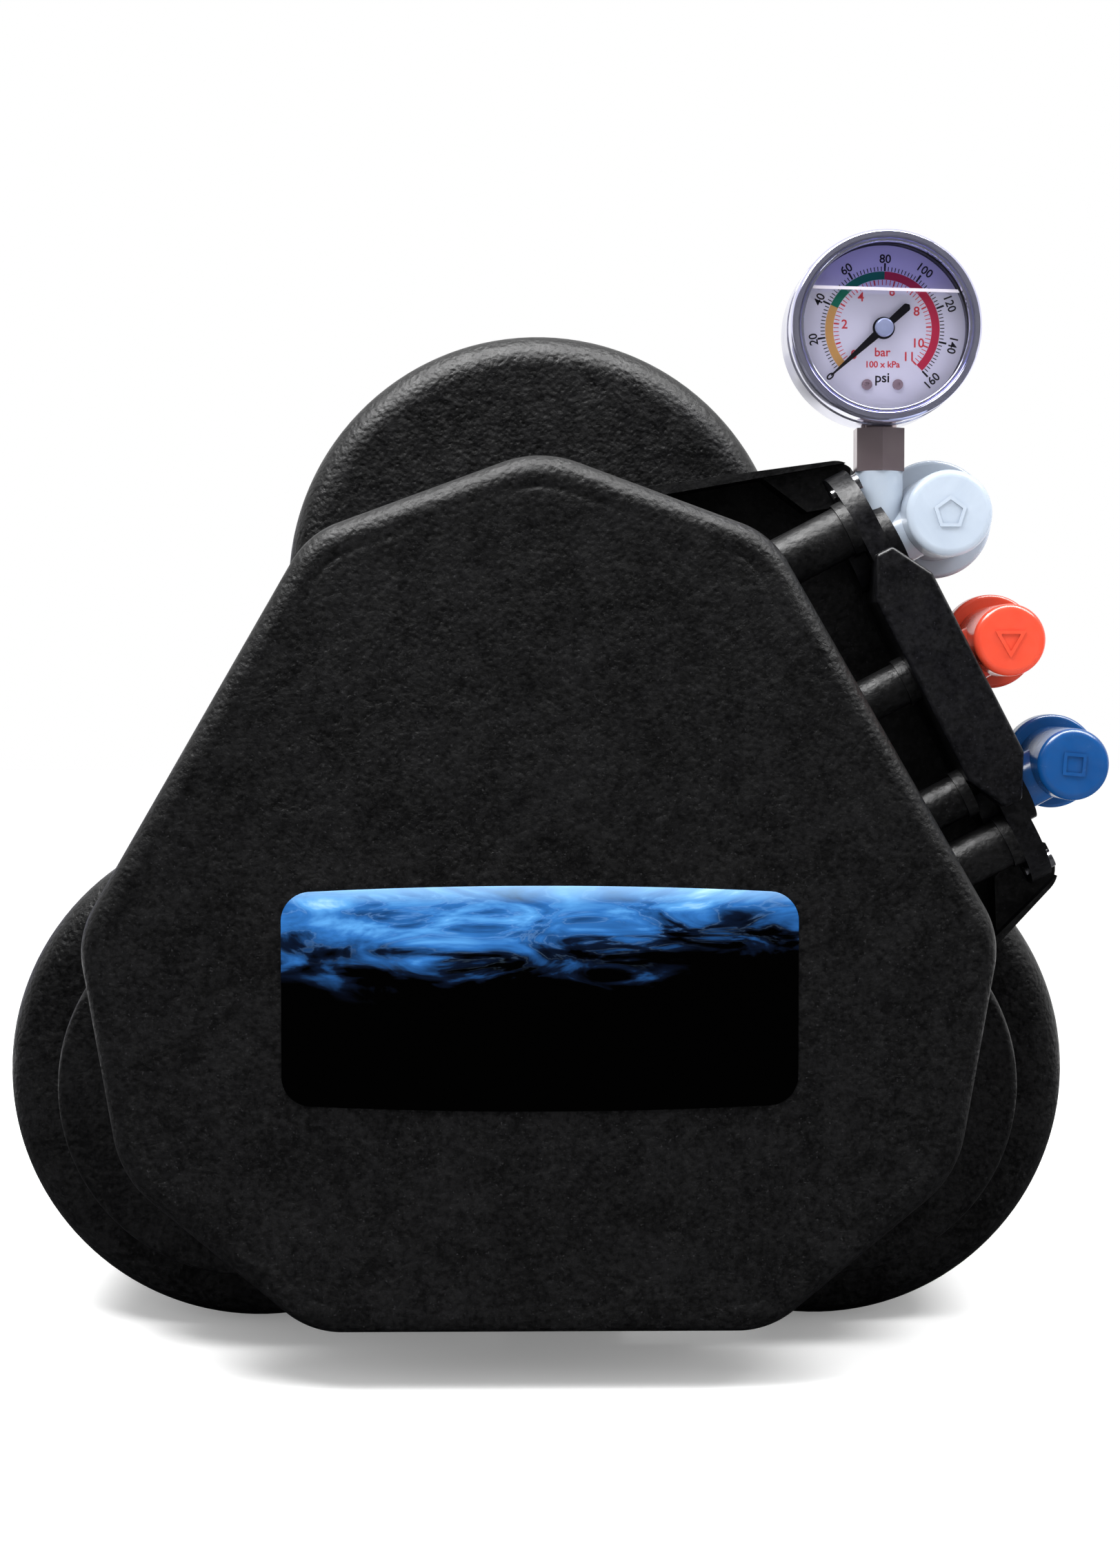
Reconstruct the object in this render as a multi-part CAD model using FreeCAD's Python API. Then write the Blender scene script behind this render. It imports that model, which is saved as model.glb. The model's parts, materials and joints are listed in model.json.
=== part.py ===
import FreeCAD, Part
import math
import os

# Reverse osmosis unit: three horizontal canisters behind a triangular front cover,
# with a valve block, three push-in tube ports and a pressure gauge on the right-hand side.
#
# Millimetres, +Z up. The front faces -Y and +X is to the right. The origin is on the
# flat underside of the base foot, on the plane of symmetry, half-way along the depth.
#
# Most pieces are drawn in the unit's own frame, which starts on the unit's centre line
# at the front face of the cover: x across, y is the depth behind that face, z up.
# The pieces on the side are drawn in a side frame, turned about the centre line so that
# its first axis, "out", points away from the valve side: (out, depth, along).

V = FreeCAD.Vector
ACROSS = V(1, 0, 0)
DEEP = V(0, 1, 0)
UP = V(0, 0, 1)

# ---------------------------------------------------------------- driving dimensions
axis_height = 159.5         # centre line above the face the unit stands on
body_depth = 241.0          # front of the cover to the ends of the canisters
side_angle = 27.5           # how far the valve side is turned up from horizontal

drum_radius = 95.5
drum_circle = 124.0         # centre line to each canister's own axis
drum_places = {"top": 90, "left": 210, "right": 330}
drum_wall = 5.0

cover_depth = 34.0
cover_wall = 3.0
apex_reach = 168.0          # centre line to the cover's three outermost corners
shoulder_reach = 160.0      # centre line to its six other corners
apex_round = 38.0
shoulder_round = 31.0
cover_edge_round = 6.0

label_width = 178.0
label_height = 78.0
label_bulge = 2.5           # how far the long edges bow out
label_corner = 9.5
label_drop = 21.3           # label's centre below the centre line
label_thickness = 0.4

manifold_inset = 10.0       # cover's outline to the manifold's outline
manifold_wall = 5.0
manifold_rear = 62.0        # depth of the face that the canister heads bolt to
manifold_back = 6.0
port_ring_radius = 30.0
port_ring_wall = 4.0
lid_front = 35.0
lid_thickness = 4.0
gasket_thickness = 1.0

head_disc_radius = 70.0     # the round step in front of the two membrane canisters
neck_radius = 32.0          # the same step on the prefilter canister
shoulder_depth = 98.0       # depth of the drums' flat front faces
drum_edge_round = 12.0
rim_depth = 132.0           # rear edge of a head
rim_inner_radius = 90.6
socket_radius = 20.0
core_radius = 12.0          # the tube through the middle of a filter element
core_play = 0.1             # radial clearance of that tube in its socket

sump_gap = 0.8
neck_play = 0.4             # radial clearance of a sump's neck in the head's rim
neck_front = 114.0
neck_wall = 4.2
sump_end_round = 26.0

element_radius = 80.0
element_front = 118.0
element_rear = 220.0
end_cap_thickness = 6.0

screw_shank = 2.4
screw_length = 13.0
screw_head_radius = 4.2
screw_head_height = 2.6
small_shank = 1.8
small_length = 9.0
small_head_radius = 3.3
small_head_height = 2.0

module_middle = 11.5        # middle of the valve side, measured along it
leg_depth = 63.0            # depth of the elbows' legs and of the gauge stem
flange_inner = 167.0        # flange's inner face, out from the centre line
flange_thickness = 8.0
flange_half_length = 83.5
flange_half_depth = 21.0
housing_inner = 160.5
housing_outer = 183.0
housing_half_length = 36.0
housing_tip = 51.0          # half length over the tapered ends
housing_front = 39.0
housing_rear = 73.0
valve_cover_front = 36.0

elbow_out = 197.5
tee_out = 199.0
elbow_front = 40.0
elbow_flange_front = 79.0
elbow_flange_rear = 88.0
elbow_rear = 100.0
leg_radius = 10.0
spigot_radius = 7.95
spigot_bore = 8.0
spigot_start = 167.2
port_along = {"inlet": 63.5, "drain": 13.0, "product": -37.5}
port_face = {"inlet": 180.0, "drain": 184.0, "product": 180.0}
seat_depth = 5.0            # how far a leg sits inside its boss
tube_radius = {"inlet": 6.45, "drain": 4.85, "product": 4.85}
body_radius = {"inlet": 15.5, "drain": 13.0, "product": 13.0}
disc_radius = {"inlet": 22.0, "drain": 17.5, "product": 17.5}
boss_radius = {"inlet": 16.0, "drain": 13.5, "product": 13.5}
collet_wall = 2.6
collet_travel = 1.5

gauge_x = 124.6
gauge_z = 215.4
gauge_front = 42.5
gauge_depth = 35.0
bezel_radius = 34.4
case_radius = 32.5          # inside the bezel
case_rear_radius = 34.7     # behind the bezel
window_radius = 29.8
stem_radius = 6.5
stem_hex_radius = 10.0
tee_top = 164.4             # top of the gauge port above the centre line
zero_angle = 222.0          # pointer at zero, anticlockwise from three o'clock

unit_frame = FreeCAD.Placement(V(0, -body_depth / 2, axis_height), FreeCAD.Rotation())
side_turn = FreeCAD.Rotation(DEEP, -side_angle)
side_frame = FreeCAD.Placement(V(0, 0, 0), side_turn)


# ---------------------------------------------------------------- drawing helpers
def round_corner(before, here, after, radius):
    """Start, middle and end of the arc that rounds one corner of an outline."""
    back = (before - here).normalize()
    ahead = (after - here).normalize()
    half_angle = back.getAngle(ahead) / 2
    inwards = (back + ahead).normalize()
    reach = radius / math.tan(half_angle)
    centre = here + inwards * (radius / math.sin(half_angle))
    return here + back * reach, centre - inwards * radius, here + ahead * reach


def outline(corners, place):
    """Face inside (x, y) or (x, y, rounding) corners; place puts a flat point in space."""
    points = [V(corner[0], corner[1], 0) for corner in corners]
    count = len(points)
    bends = []
    for i, corner in enumerate(corners):
        if len(corner) > 2 and corner[2] > 0:
            bends.append(round_corner(points[i - 1], points[i], points[(i + 1) % count], corner[2]))
        else:
            bends.append((points[i],))
    edges = []
    for i, bend in enumerate(bends):
        if len(bend) == 3:
            edges.append(Part.Arc(*[place(p) for p in bend]).toShape())
        start = place(bend[-1])
        end = place(bends[(i + 1) % count][0])
        if start.distanceToPoint(end) > 1e-6:
            edges.append(Part.makeLine(start, end))
    return Part.Face(Part.Wire(edges))


def plate(corners, front, rear):
    """Front-view outline given thickness from one depth to another."""
    face = outline(corners, lambda p: V(p.x, front, p.y))
    return face.extrude(V(0, rear - front, 0))


def side_plate(corners, inner, outer):
    """Outline in (depth, along) given thickness outwards; for the side frame."""
    face = outline(corners, lambda p: V(inner, p.x, p.y))
    return face.extrude(V(outer - inner, 0, 0))


def turned(profile, x=0.0, z=0.0):
    """Solid turned about a line along the depth; the profile is (radius, depth, rounding)."""
    face = outline(profile, lambda p: V(p.x, p.y, 0))
    solid = face.revolve(V(0, 0, 0), DEEP, 360)
    solid.translate(V(x, 0, z))
    return solid


def rod(radius, start, direction, length):
    return Part.makeCylinder(radius, length, start, direction)


def tube(radius, bore, start, direction, length):
    return rod(radius, start, direction, length).cut(rod(bore, start, direction, length))


def ring(radius, section, centre, direction):
    """O-ring of round section."""
    return Part.makeTorus(radius, section, centre, direction)


def polar(reach, degrees):
    angle = math.radians(degrees)
    return reach * math.cos(angle), reach * math.sin(angle)


def drum_centre(place):
    return polar(drum_circle, drum_places[place])


def in_side_frame(shape):
    """The same shape, turned from the side frame into the unit's frame."""
    return shape.transformed(side_frame.toMatrix(), True)


def save(name, shape):
    """Write one node, moved from the unit's frame to the part's frame."""
    shape.transformed(unit_frame.toMatrix(), True).exportStep("parts/" + name + ".step")


def save_side(name, shape):
    save(name, in_side_frame(shape))


def group(solids):
    return Part.makeCompound(solids)


def edges_at_depth(shape, depth):
    """Edges that lie flat at one depth."""
    box = [edge.BoundBox for edge in shape.Edges]
    return [e for e, b in zip(shape.Edges, box) if abs(b.YMin - depth) < 1e-3 and abs(b.YMax - depth) < 1e-3]


def screw(start, direction, shank=screw_shank, length=screw_length,
          head=screw_head_radius, height=screw_head_height):
    """Pan-head screw; start is on the face under its head, direction is the way it points."""
    along = V(direction).normalize()
    body = rod(head, start - along * height, along, height)
    slot = rod(head * 0.4, start - along * height, along, height * 0.5)
    return body.cut(slot).fuse(rod(shank, start, along, length)).removeSplitter()


def small_screw(start, direction):
    return screw(start, direction, small_shank, small_length, small_head_radius, small_head_height)


# ---------------------------------------------------------------- cover and manifold
def nonagon(inset):
    """Rounded nine-sided outline, three long sides and six short, moved in by the inset."""
    corners = []
    for degrees in range(90, -270, -30):
        if degrees % 120 == 90:
            corners.append((apex_reach, degrees, apex_round))
        elif degrees % 120 in (0, 60):
            corners.append((shoulder_reach, degrees, shoulder_round))
    points = [V(*polar(reach, degrees), 0) for reach, degrees, rounding in corners]
    result = []
    for i, here in enumerate(points):
        back = (points[i - 1] - here).normalize()
        ahead = (points[(i + 1) % len(points)] - here).normalize()
        half_angle = back.getAngle(ahead) / 2
        moved = here + (back + ahead).normalize() * (inset / math.sin(half_angle))
        result.append((moved.x, moved.y, corners[i][2] - inset))
    return result


cover_screw_reach = 119.0
cover_boss_radius = 6.0
cover_screw_points = [polar(cover_screw_reach, degrees) for degrees in (30, 150, 270)]
lid_screw_points = [polar(reach, degrees) for reach in (62.0, 98.0) for degrees in (30, 150, 270)]
head_screw_depth = manifold_rear - manifold_back
panel_screw_along = (-34.0, -10.0, 24.0, 62.0)
panel_wall_middle = 96.0
base_screw_x = 18.0
base_screw_z = -117.5

# Hole that feeds each canister: (distance inwards from its axis, radius, depth into the head).
feed_holes = {"top": (25.0, 3.0, 60.0), "left": (45.0, 5.0, 12.0), "right": (45.0, 5.0, 12.0)}


def head_screw_points():
    """Screw centres: four in each membrane head, three in the prefilter's neck."""
    points = []
    for place, degrees in drum_places.items():
        x, z = drum_centre(place)
        reach = 21.0 if place == "top" else 52.0
        turns = (60, 180, 300) if place == "top" else (-75, -35, 35, 75)
        for turn in turns:
            dx, dz = polar(reach, degrees + 180 + turn)
            points.append((x + dx, z + dz))
    return points


def panel_screw_points():
    """Screw centres for the side panel, in the unit's frame."""
    centres = [side_turn.multVec(V(panel_wall_middle, 0, along)) for along in panel_screw_along]
    return [(centre.x, centre.z) for centre in centres]


def base_screw_points():
    return [(-base_screw_x, base_screw_z), (base_screw_x, base_screw_z)]


def make_front_cover():
    shell = plate(nonagon(0), 0, cover_depth)
    shell = shell.makeFillet(cover_edge_round, edges_at_depth(shell, 0))
    hollow = plate(nonagon(cover_wall), cover_wall, cover_depth)
    shell = shell.cut(hollow)
    for x, z in cover_screw_points:
        boss = rod(cover_boss_radius, V(x, cover_wall, z), DEEP, lid_front - 2 - cover_wall)
        shell = shell.fuse(boss)
    rib_height = 9.0
    rib_thickness = 2.0
    for degrees in (30, 90, 150, 210, 270, 330):
        rib = Part.makeBox(110, rib_height, rib_thickness, V(12, cover_wall - 0.5, -rib_thickness / 2))
        rib.rotate(V(0, 0, 0), DEEP, -degrees)
        shell = shell.fuse(rib)
    pilot_start = rib_height + cover_wall
    for x, z in cover_screw_points:
        shell = shell.cut(rod(screw_shank, V(x, pilot_start, z), DEEP, cover_depth))
    return shell.removeSplitter()


def make_front_label():
    half_w = label_width / 2
    half_h = label_height / 2 - label_bulge
    points = [V(-half_w, 0, -half_h), V(half_w, 0, -half_h), V(half_w, 0, half_h), V(-half_w, 0, half_h)]
    edges = [
        Part.Arc(points[0], V(0, 0, -label_height / 2), points[1]).toShape(),
        Part.makeLine(points[1], points[2]),
        Part.Arc(points[2], V(0, 0, label_height / 2), points[3]).toShape(),
        Part.makeLine(points[3], points[0]),
    ]
    sheet = Part.Face(Part.Wire(edges)).extrude(V(0, -label_thickness, 0))
    corners = [e for e in sheet.Edges if e.BoundBox.YLength > label_thickness / 2
               and e.BoundBox.ZLength < 1e-3 and e.BoundBox.XLength < 1e-3]
    sheet = sheet.makeFillet(label_corner, corners)
    sheet.translate(V(0, 0, -label_drop))
    return sheet


def make_manifold_body():
    body = plate(nonagon(manifold_inset), cover_depth, manifold_rear)
    floor_front = manifold_rear - manifold_back
    body = body.cut(plate(nonagon(manifold_inset + manifold_wall), cover_depth, floor_front))
    wall_front = lid_front + lid_thickness + gasket_thickness
    wall_height = floor_front + 1 - wall_front
    hub_radius = 22.0
    walls = [tube(hub_radius, hub_radius - port_ring_wall, V(0, wall_front, 0), DEEP, wall_height)]
    for place, degrees in drum_places.items():
        x, z = drum_centre(place)
        start = V(x, wall_front, z)
        walls.append(tube(port_ring_radius, port_ring_radius - port_ring_wall, start, DEEP, wall_height))
        for side in (-1, 1):
            rib_start = V(hub_radius - 2, wall_front, side * 10 - 1.5)
            rib = Part.makeBox(drum_circle - port_ring_radius - hub_radius + 4, wall_height, 3, rib_start)
            rib.rotate(V(0, 0, 0), DEEP, -degrees)
            walls.append(rib)
    for x, z in lid_screw_points:
        walls.append(rod(4.5, V(x, wall_front - gasket_thickness, z), DEEP, wall_height + gasket_thickness))
    for x, z in cover_screw_points:
        walls.append(rod(cover_boss_radius + 0.5, V(x, lid_front - 1, z), DEEP, manifold_rear - lid_front + 1))
    body = body.multiFuse(walls)
    bound = plate(nonagon(manifold_inset), cover_depth, manifold_rear)
    body = body.common(bound)
    holes = []
    for place, degrees in drum_places.items():
        x, z = drum_centre(place)
        holes.append(rod(8, V(x, floor_front - 1, z), DEEP, manifold_back + 2))
        reach, radius, length = feed_holes[place]
        hx, hz = polar(drum_circle - reach, degrees)
        holes.append(rod(radius, V(hx, floor_front - 1, hz), DEEP, manifold_back + 2))
    for x, z in lid_screw_points:
        holes.append(rod(small_shank, V(x, lid_front, z), DEEP, small_length + lid_thickness))
    for x, z in cover_screw_points:
        holes.append(rod(screw_shank + 0.1, V(x, cover_depth - 1, z), DEEP, manifold_rear))
    for x, z in head_screw_points() + panel_screw_points() + base_screw_points():
        holes.append(rod(screw_shank + 0.1, V(x, floor_front - 1, z), DEEP, manifold_back + 2))
    for name in transfer_tubes:
        holes.append(in_side_frame(transfer_rod(name, transfer_tubes[name][1])))
    return body.cut(holes).removeSplitter()


def gasket_outline():
    """Solids of the flat seal that lies along the manifold's channel walls."""
    front = lid_front + lid_thickness
    pieces = [tube(21.5, 18.5, V(0, front, 0), DEEP, gasket_thickness)]
    for place, degrees in drum_places.items():
        x, z = drum_centre(place)
        pieces.append(tube(29.5, 26.5, V(x, front, z), DEEP, gasket_thickness))
        for side in (-1, 1):
            strip_start = V(18.8, front, side * 10 - 1.4)
            strip = Part.makeBox(drum_circle - 26.8 - 18.8, gasket_thickness, 2.8, strip_start)
            strip.rotate(V(0, 0, 0), DEEP, -degrees)
            pieces.append(strip)
    bound = plate(nonagon(manifold_inset + manifold_wall + 0.3), 0, manifold_rear)
    return [piece.common(bound) for piece in pieces]


def make_manifold_gasket():
    pieces = gasket_outline()
    seal = pieces[0].multiFuse(pieces[1:])
    inside = [rod(18.5, V(0, 0, 0), DEEP, manifold_rear)]
    for place in drum_places:
        x, z = drum_centre(place)
        inside.append(rod(26.5, V(x, 0, z), DEEP, manifold_rear))
    return seal.cut(inside).removeSplitter()


def make_manifold_lid():
    lid = plate(nonagon(manifold_inset + manifold_wall + 0.3), lid_front, lid_front + lid_thickness)
    holes = [rod(cover_boss_radius + 1, V(x, 0, z), DEEP, manifold_rear) for x, z in cover_screw_points]
    holes += [rod(small_shank + 0.1, V(x, 0, z), DEEP, manifold_rear) for x, z in lid_screw_points]
    return lid.cut(holes).removeSplitter()


def make_body_screws():
    """The identical long screws that hold the cover, heads, side panel and base foot."""
    screws = [screw(V(x, manifold_rear, z), -DEEP, length=30) for x, z in cover_screw_points]
    for x, z in head_screw_points() + panel_screw_points() + base_screw_points():
        screws.append(screw(V(x, head_screw_depth, z), DEEP))
    return group(screws)


# ---------------------------------------------------------------- base foot
foot_half_width = 60.0
foot_rear = 226.0
foot_height = 38.0
foot_play = 0.8
lip_thickness = 7.0


def make_base_foot():
    ground = -axis_height
    saddle = plate([(-foot_half_width, ground), (foot_half_width, ground), (foot_half_width, ground + 14),
                    (0, ground + foot_height + 14), (-foot_half_width, ground + 14)], 100, foot_rear)
    top_trim = Part.makeBox(300, 300, 100, V(-150, 0, ground + foot_height))
    spine = Part.makeBox(28, 101 - manifold_rear, 26, V(-14, manifold_rear, ground + 9))
    lip = plate([(-30, ground + 22), (30, ground + 22), (30, ground + 62, 8), (-30, ground + 62, 8)],
                manifold_rear, manifold_rear + lip_thickness)
    foot = saddle.cut(top_trim).multiFuse([spine, lip])
    clear = []
    for place in ("left", "right"):
        x, z = drum_centre(place)
        clear.append(rod(drum_radius + foot_play, V(x, 97, z), DEEP, body_depth))
        clear.append(rod(head_disc_radius + foot_play, V(x, 0, z), DEEP, body_depth))
    for row in range(4):
        pocket_start = 108 + row * 29
        clear.append(plate([(-24, ground + 3), (24, ground + 3), (15, ground + 60), (-15, ground + 60)],
                           pocket_start, pocket_start + 25))
    for x, z in base_screw_points():
        clear.append(rod(screw_shank, V(x, 0, z), DEEP, manifold_rear + lip_thickness))
    for x, z in cover_screw_points:
        clear.append(rod(screw_head_radius + 1, V(x, 0, z), DEEP, manifold_rear + lip_thickness))
    return foot.cut(clear).removeSplitter()


# ---------------------------------------------------------------- canisters
def make_head(place):
    """Fixed front half of a canister, bolted to the manifold."""
    x, z = drum_centre(place)
    step = neck_radius if place == "top" else head_disc_radius
    profile = [
        (8, manifold_rear), (step, manifold_rear, 3), (step, shoulder_depth, 4),
        (drum_radius, shoulder_depth, drum_edge_round), (drum_radius, rim_depth, 1),
        (rim_inner_radius, rim_depth), (rim_inner_radius, shoulder_depth + 6, 7),
    ]
    if place != "top":
        profile += [(66, shoulder_depth + 6, 3), (66, manifold_rear + 8, 4), (socket_radius, manifold_rear + 8)]
    bore = core_radius + core_play
    profile += [(socket_radius, shoulder_depth + 8), (bore, shoulder_depth + 8), (bore, 74), (8, 74)]
    head = turned(profile, x, z)
    holes = []
    for sx, sz in head_screw_points():
        if math.hypot(sx - x, sz - z) < step:
            holes.append(rod(screw_shank, V(sx, 0, sz), DEEP, head_screw_depth + screw_length))
    reach, radius, length = feed_holes[place]
    hx, hz = polar(drum_circle - reach, drum_places[place])
    holes.append(rod(radius, V(hx, manifold_rear - 1, hz), DEEP, length))
    return head.cut(holes).removeSplitter()


def make_sump(place):
    """Removable rear half of a canister: a cup with a neck that screws into the head."""
    x, z = drum_centre(place)
    neck = rim_inner_radius - neck_play
    inner = drum_radius - drum_wall
    shoulder = rim_depth + sump_gap
    profile = [
        (0, body_depth), (drum_radius, body_depth, sump_end_round), (drum_radius, shoulder, 1),
        (neck, shoulder), (neck, neck_front), (neck - neck_wall, neck_front),
        (neck - neck_wall, 150), (inner, 156), (inner, body_depth - drum_wall, sump_end_round - drum_wall),
        (core_radius + 5, body_depth - drum_wall), (core_radius + 5, 228),
        (core_radius + 0.4, 228), (core_radius + 0.4, body_depth - drum_wall), (0, body_depth - drum_wall),
    ]
    sump = turned(profile, x, z)
    groove = tube(neck + 1, neck - 2.4, V(x, 119, z), DEEP, 3.4)
    return sump.cut(groove).removeSplitter()


def make_sump_seal(place):
    x, z = drum_centre(place)
    section = 1.35
    return ring(rim_inner_radius - 0.05 - section, section, V(x, 120.7, z), DEEP)


def make_element(place):
    """Filter element: a wound membrane, or a carbon block."""
    x, z = drum_centre(place)
    radius = element_radius - 6 if place == "top" else element_radius
    return tube(radius, core_radius, V(x, element_front, z), DEEP, element_rear - element_front)


def make_end_caps(place):
    """The pair of pierced discs at the ends of a filter element."""
    x, z = drum_centre(place)
    caps = []
    for front in (element_front - end_cap_thickness, element_rear):
        cap = tube(element_radius, core_radius, V(x, front, z), DEEP, end_cap_thickness)
        if place != "top":
            holes = []
            for i in range(8):
                dx, dz = polar(46, i * 45)
                holes.append(rod(11, V(x + dx, front, z + dz), DEEP, end_cap_thickness))
            cap = cap.cut(holes)
        caps.append(cap)
    return group(caps)


def make_brine_seal(place):
    """U-shaped ring that closes the gap between a membrane and its sump's neck."""
    x, z = drum_centre(place)
    outer = rim_inner_radius - neck_play - neck_wall - 0.2
    profile = [(element_radius, 120), (outer, 120), (outer, 127), (outer - 1.2, 127),
               (outer - 1.8, 122), (element_radius + 1.4, 122), (element_radius + 1.2, 127),
               (element_radius, 127)]
    return turned(profile, x, z)


def make_core(place):
    """Collecting tube through the middle of a filter element, with drilled rows of holes."""
    x, z = drum_centre(place)
    front = 80.0
    rear = 232.0
    core = tube(core_radius, core_radius - 3, V(x, front, z), DEEP, rear - front - 3)
    core = core.fuse(rod(core_radius, V(x, rear - 3, z), DEEP, 3))
    holes = []
    for i in range(6):
        holes.append(rod(1.5, V(x - core_radius, 130 + i * 15, z), ACROSS, 2 * core_radius))
        holes.append(rod(1.5, V(x, 137 + i * 15, z - core_radius), UP, 2 * core_radius))
    return core.cut(holes).removeSplitter()


# ---------------------------------------------------------------- side panel and valve block
# Transfer tubes: name -> (position along the side, outer radius, bore radius, outer end).
transfer_tubes = {
    "inlet": (75.0, 9.5, 5.0, flange_inner),
    "feed": (16.5, 8.0, 3.2, housing_inner),
    "product": (-29.5, 8.0, 3.2, housing_inner),
    "drain": (-52.0, 9.0, 3.2, flange_inner),
}
transfer_depth = 51.0
transfer_start = 112.0


def transfer_rod(name, radius):
    along, outer, bore, end = transfer_tubes[name]
    return rod(radius, V(transfer_start, transfer_depth, along), ACROSS, end - transfer_start)


def transfer_body(name):
    along, outer, bore, end = transfer_tubes[name]
    collar = rod(outer + 1, V(end - 4, transfer_depth, along), ACROSS, 4)
    return transfer_rod(name, outer).fuse(collar)


def make_transfer_tube(name):
    """Short pipe from the manifold to the valve block, with a raised collar at its outer end."""
    along, outer, bore, end = transfer_tubes[name]
    return transfer_body(name).cut(transfer_rod(name, bore)).removeSplitter()


def panel_outline(inset, inner, outer):
    """Trapezoid of the side panel; only its two slanted edges move with the inset."""
    wide = 113.0 - inset
    narrow = 86.0 - inset
    rounding = 10.0 if inset == 0 else 0.0
    return [(inner, module_middle - wide), (104, module_middle - wide),
            (outer, module_middle - narrow, rounding), (outer, module_middle + narrow, rounding),
            (104, module_middle + wide), (inner, module_middle + wide)]


panel_front = manifold_rear
panel_rear = 88.0
panel_floor = 84.0
panel_outer = 179.5


def make_side_panel():
    panel = plate(panel_outline(0, 92, panel_outer), panel_front, panel_rear)
    panel = panel.cut(plate(panel_outline(4.5, 100, panel_outer + 10), panel_front - 1, panel_floor))
    gussets = []
    for side in (-1, 1):
        corners = [(143, 105), (157, 76), (panel_outer - 4, 70), (panel_outer + 8, 80), (panel_outer, 100)]
        gusset = plate([(out, module_middle + side * along) for out, along in corners],
                       panel_front + 5, panel_floor + 1)
        gussets.append(gusset.common(plate(panel_outline(0, 92, panel_outer), 0, panel_rear)))
    panel = panel.multiFuse(gussets)
    stem_clearance = gauge_port_rod(stem_hex_radius + 0.6, gauge_z - case_rear_radius)
    trim = [flange_slab(0.0), port_rod("inlet", disc_radius["inlet"] + 1.5), stem_clearance]
    for place in drum_places:
        x, z = drum_centre(place)
        step = neck_radius if place == "top" else head_disc_radius
        cut_round = rod(step + 1.5, V(x, 0, z), DEEP, body_depth)
        trim.append(cut_round.transformed(side_frame.inverse().toMatrix(), True))
    for x, z in cover_screw_points:
        access = rod(6, V(x, panel_floor - 1, z), DEEP, 10)
        trim.append(access.transformed(side_frame.inverse().toMatrix(), True))
    for along in panel_screw_along:
        trim.append(rod(screw_shank, V(panel_wall_middle, 0, along), DEEP, head_screw_depth + screw_length))
    for depth, along in flange_screw_places:
        tip = flange_inner + flange_thickness - small_length
        trim.append(rod(small_shank, V(tip, depth, along), ACROSS, small_length))
        trim.append(rod(small_head_radius + 0.5, V(flange_inner, depth, along), ACROSS, 20))
    return panel.cut(trim).removeSplitter()


def flange_slab(growth):
    """The valve block's mounting flange: a long plate with round ends."""
    half_depth = flange_half_depth + growth
    half_length = flange_half_length + growth
    corners = [(leg_depth + sign_d * half_depth, module_middle + sign_a * half_length, half_depth - 0.01)
               for sign_d, sign_a in ((-1, -1), (1, -1), (1, 1), (-1, 1))]
    return side_plate(corners, flange_inner, flange_inner + flange_thickness)


def port_rod(name, radius):
    """Cylinder along one fitting's own axis, through the whole depth."""
    out = tee_out if name == "inlet" else elbow_out
    return rod(radius, V(out, 0, port_along[name]), DEEP, body_depth)


def housing_outline(shrink):
    middle = module_middle
    waist_in = 168.0
    waist_out = 174.6
    return [(housing_inner + shrink, middle + housing_half_length, 2), (waist_in, middle + housing_tip - shrink, 2),
            (waist_out, middle + housing_tip - shrink, 2), (housing_outer - shrink, middle + housing_half_length, 2),
            (housing_outer - shrink, middle - housing_half_length, 2), (waist_out, middle - housing_tip + shrink, 2),
            (waist_in, middle - housing_tip + shrink, 2), (housing_inner + shrink, middle - housing_half_length, 2)]


chamber_out = 171.7
shutoff_along = 38.0
check_along = -9.0
restrictor_along = -26.0
shutoff_bore = 8.6
check_bore = 6.0
restrictor_bore = 4.6
flange_screw_places = [(depth, along) for depth in (53.5, 72.5) for along in (88.5, -65.5)]


def gauge_port_base():
    """Point in the side frame where the gauge port's vertical axis meets the inlet leg."""
    along = port_along["inlet"]
    angle = math.radians(side_angle)
    out = (gauge_x + along * math.sin(angle)) / math.cos(angle)
    return V(out, leg_depth, along)


def gauge_port_rod(radius, top):
    """Vertical cylinder in the side frame, up to a height above the centre line."""
    base = gauge_port_base()
    height = top - side_turn.multVec(base).z
    vertical = side_turn.inverted().multVec(UP)
    return rod(radius, base, vertical, height)


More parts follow.
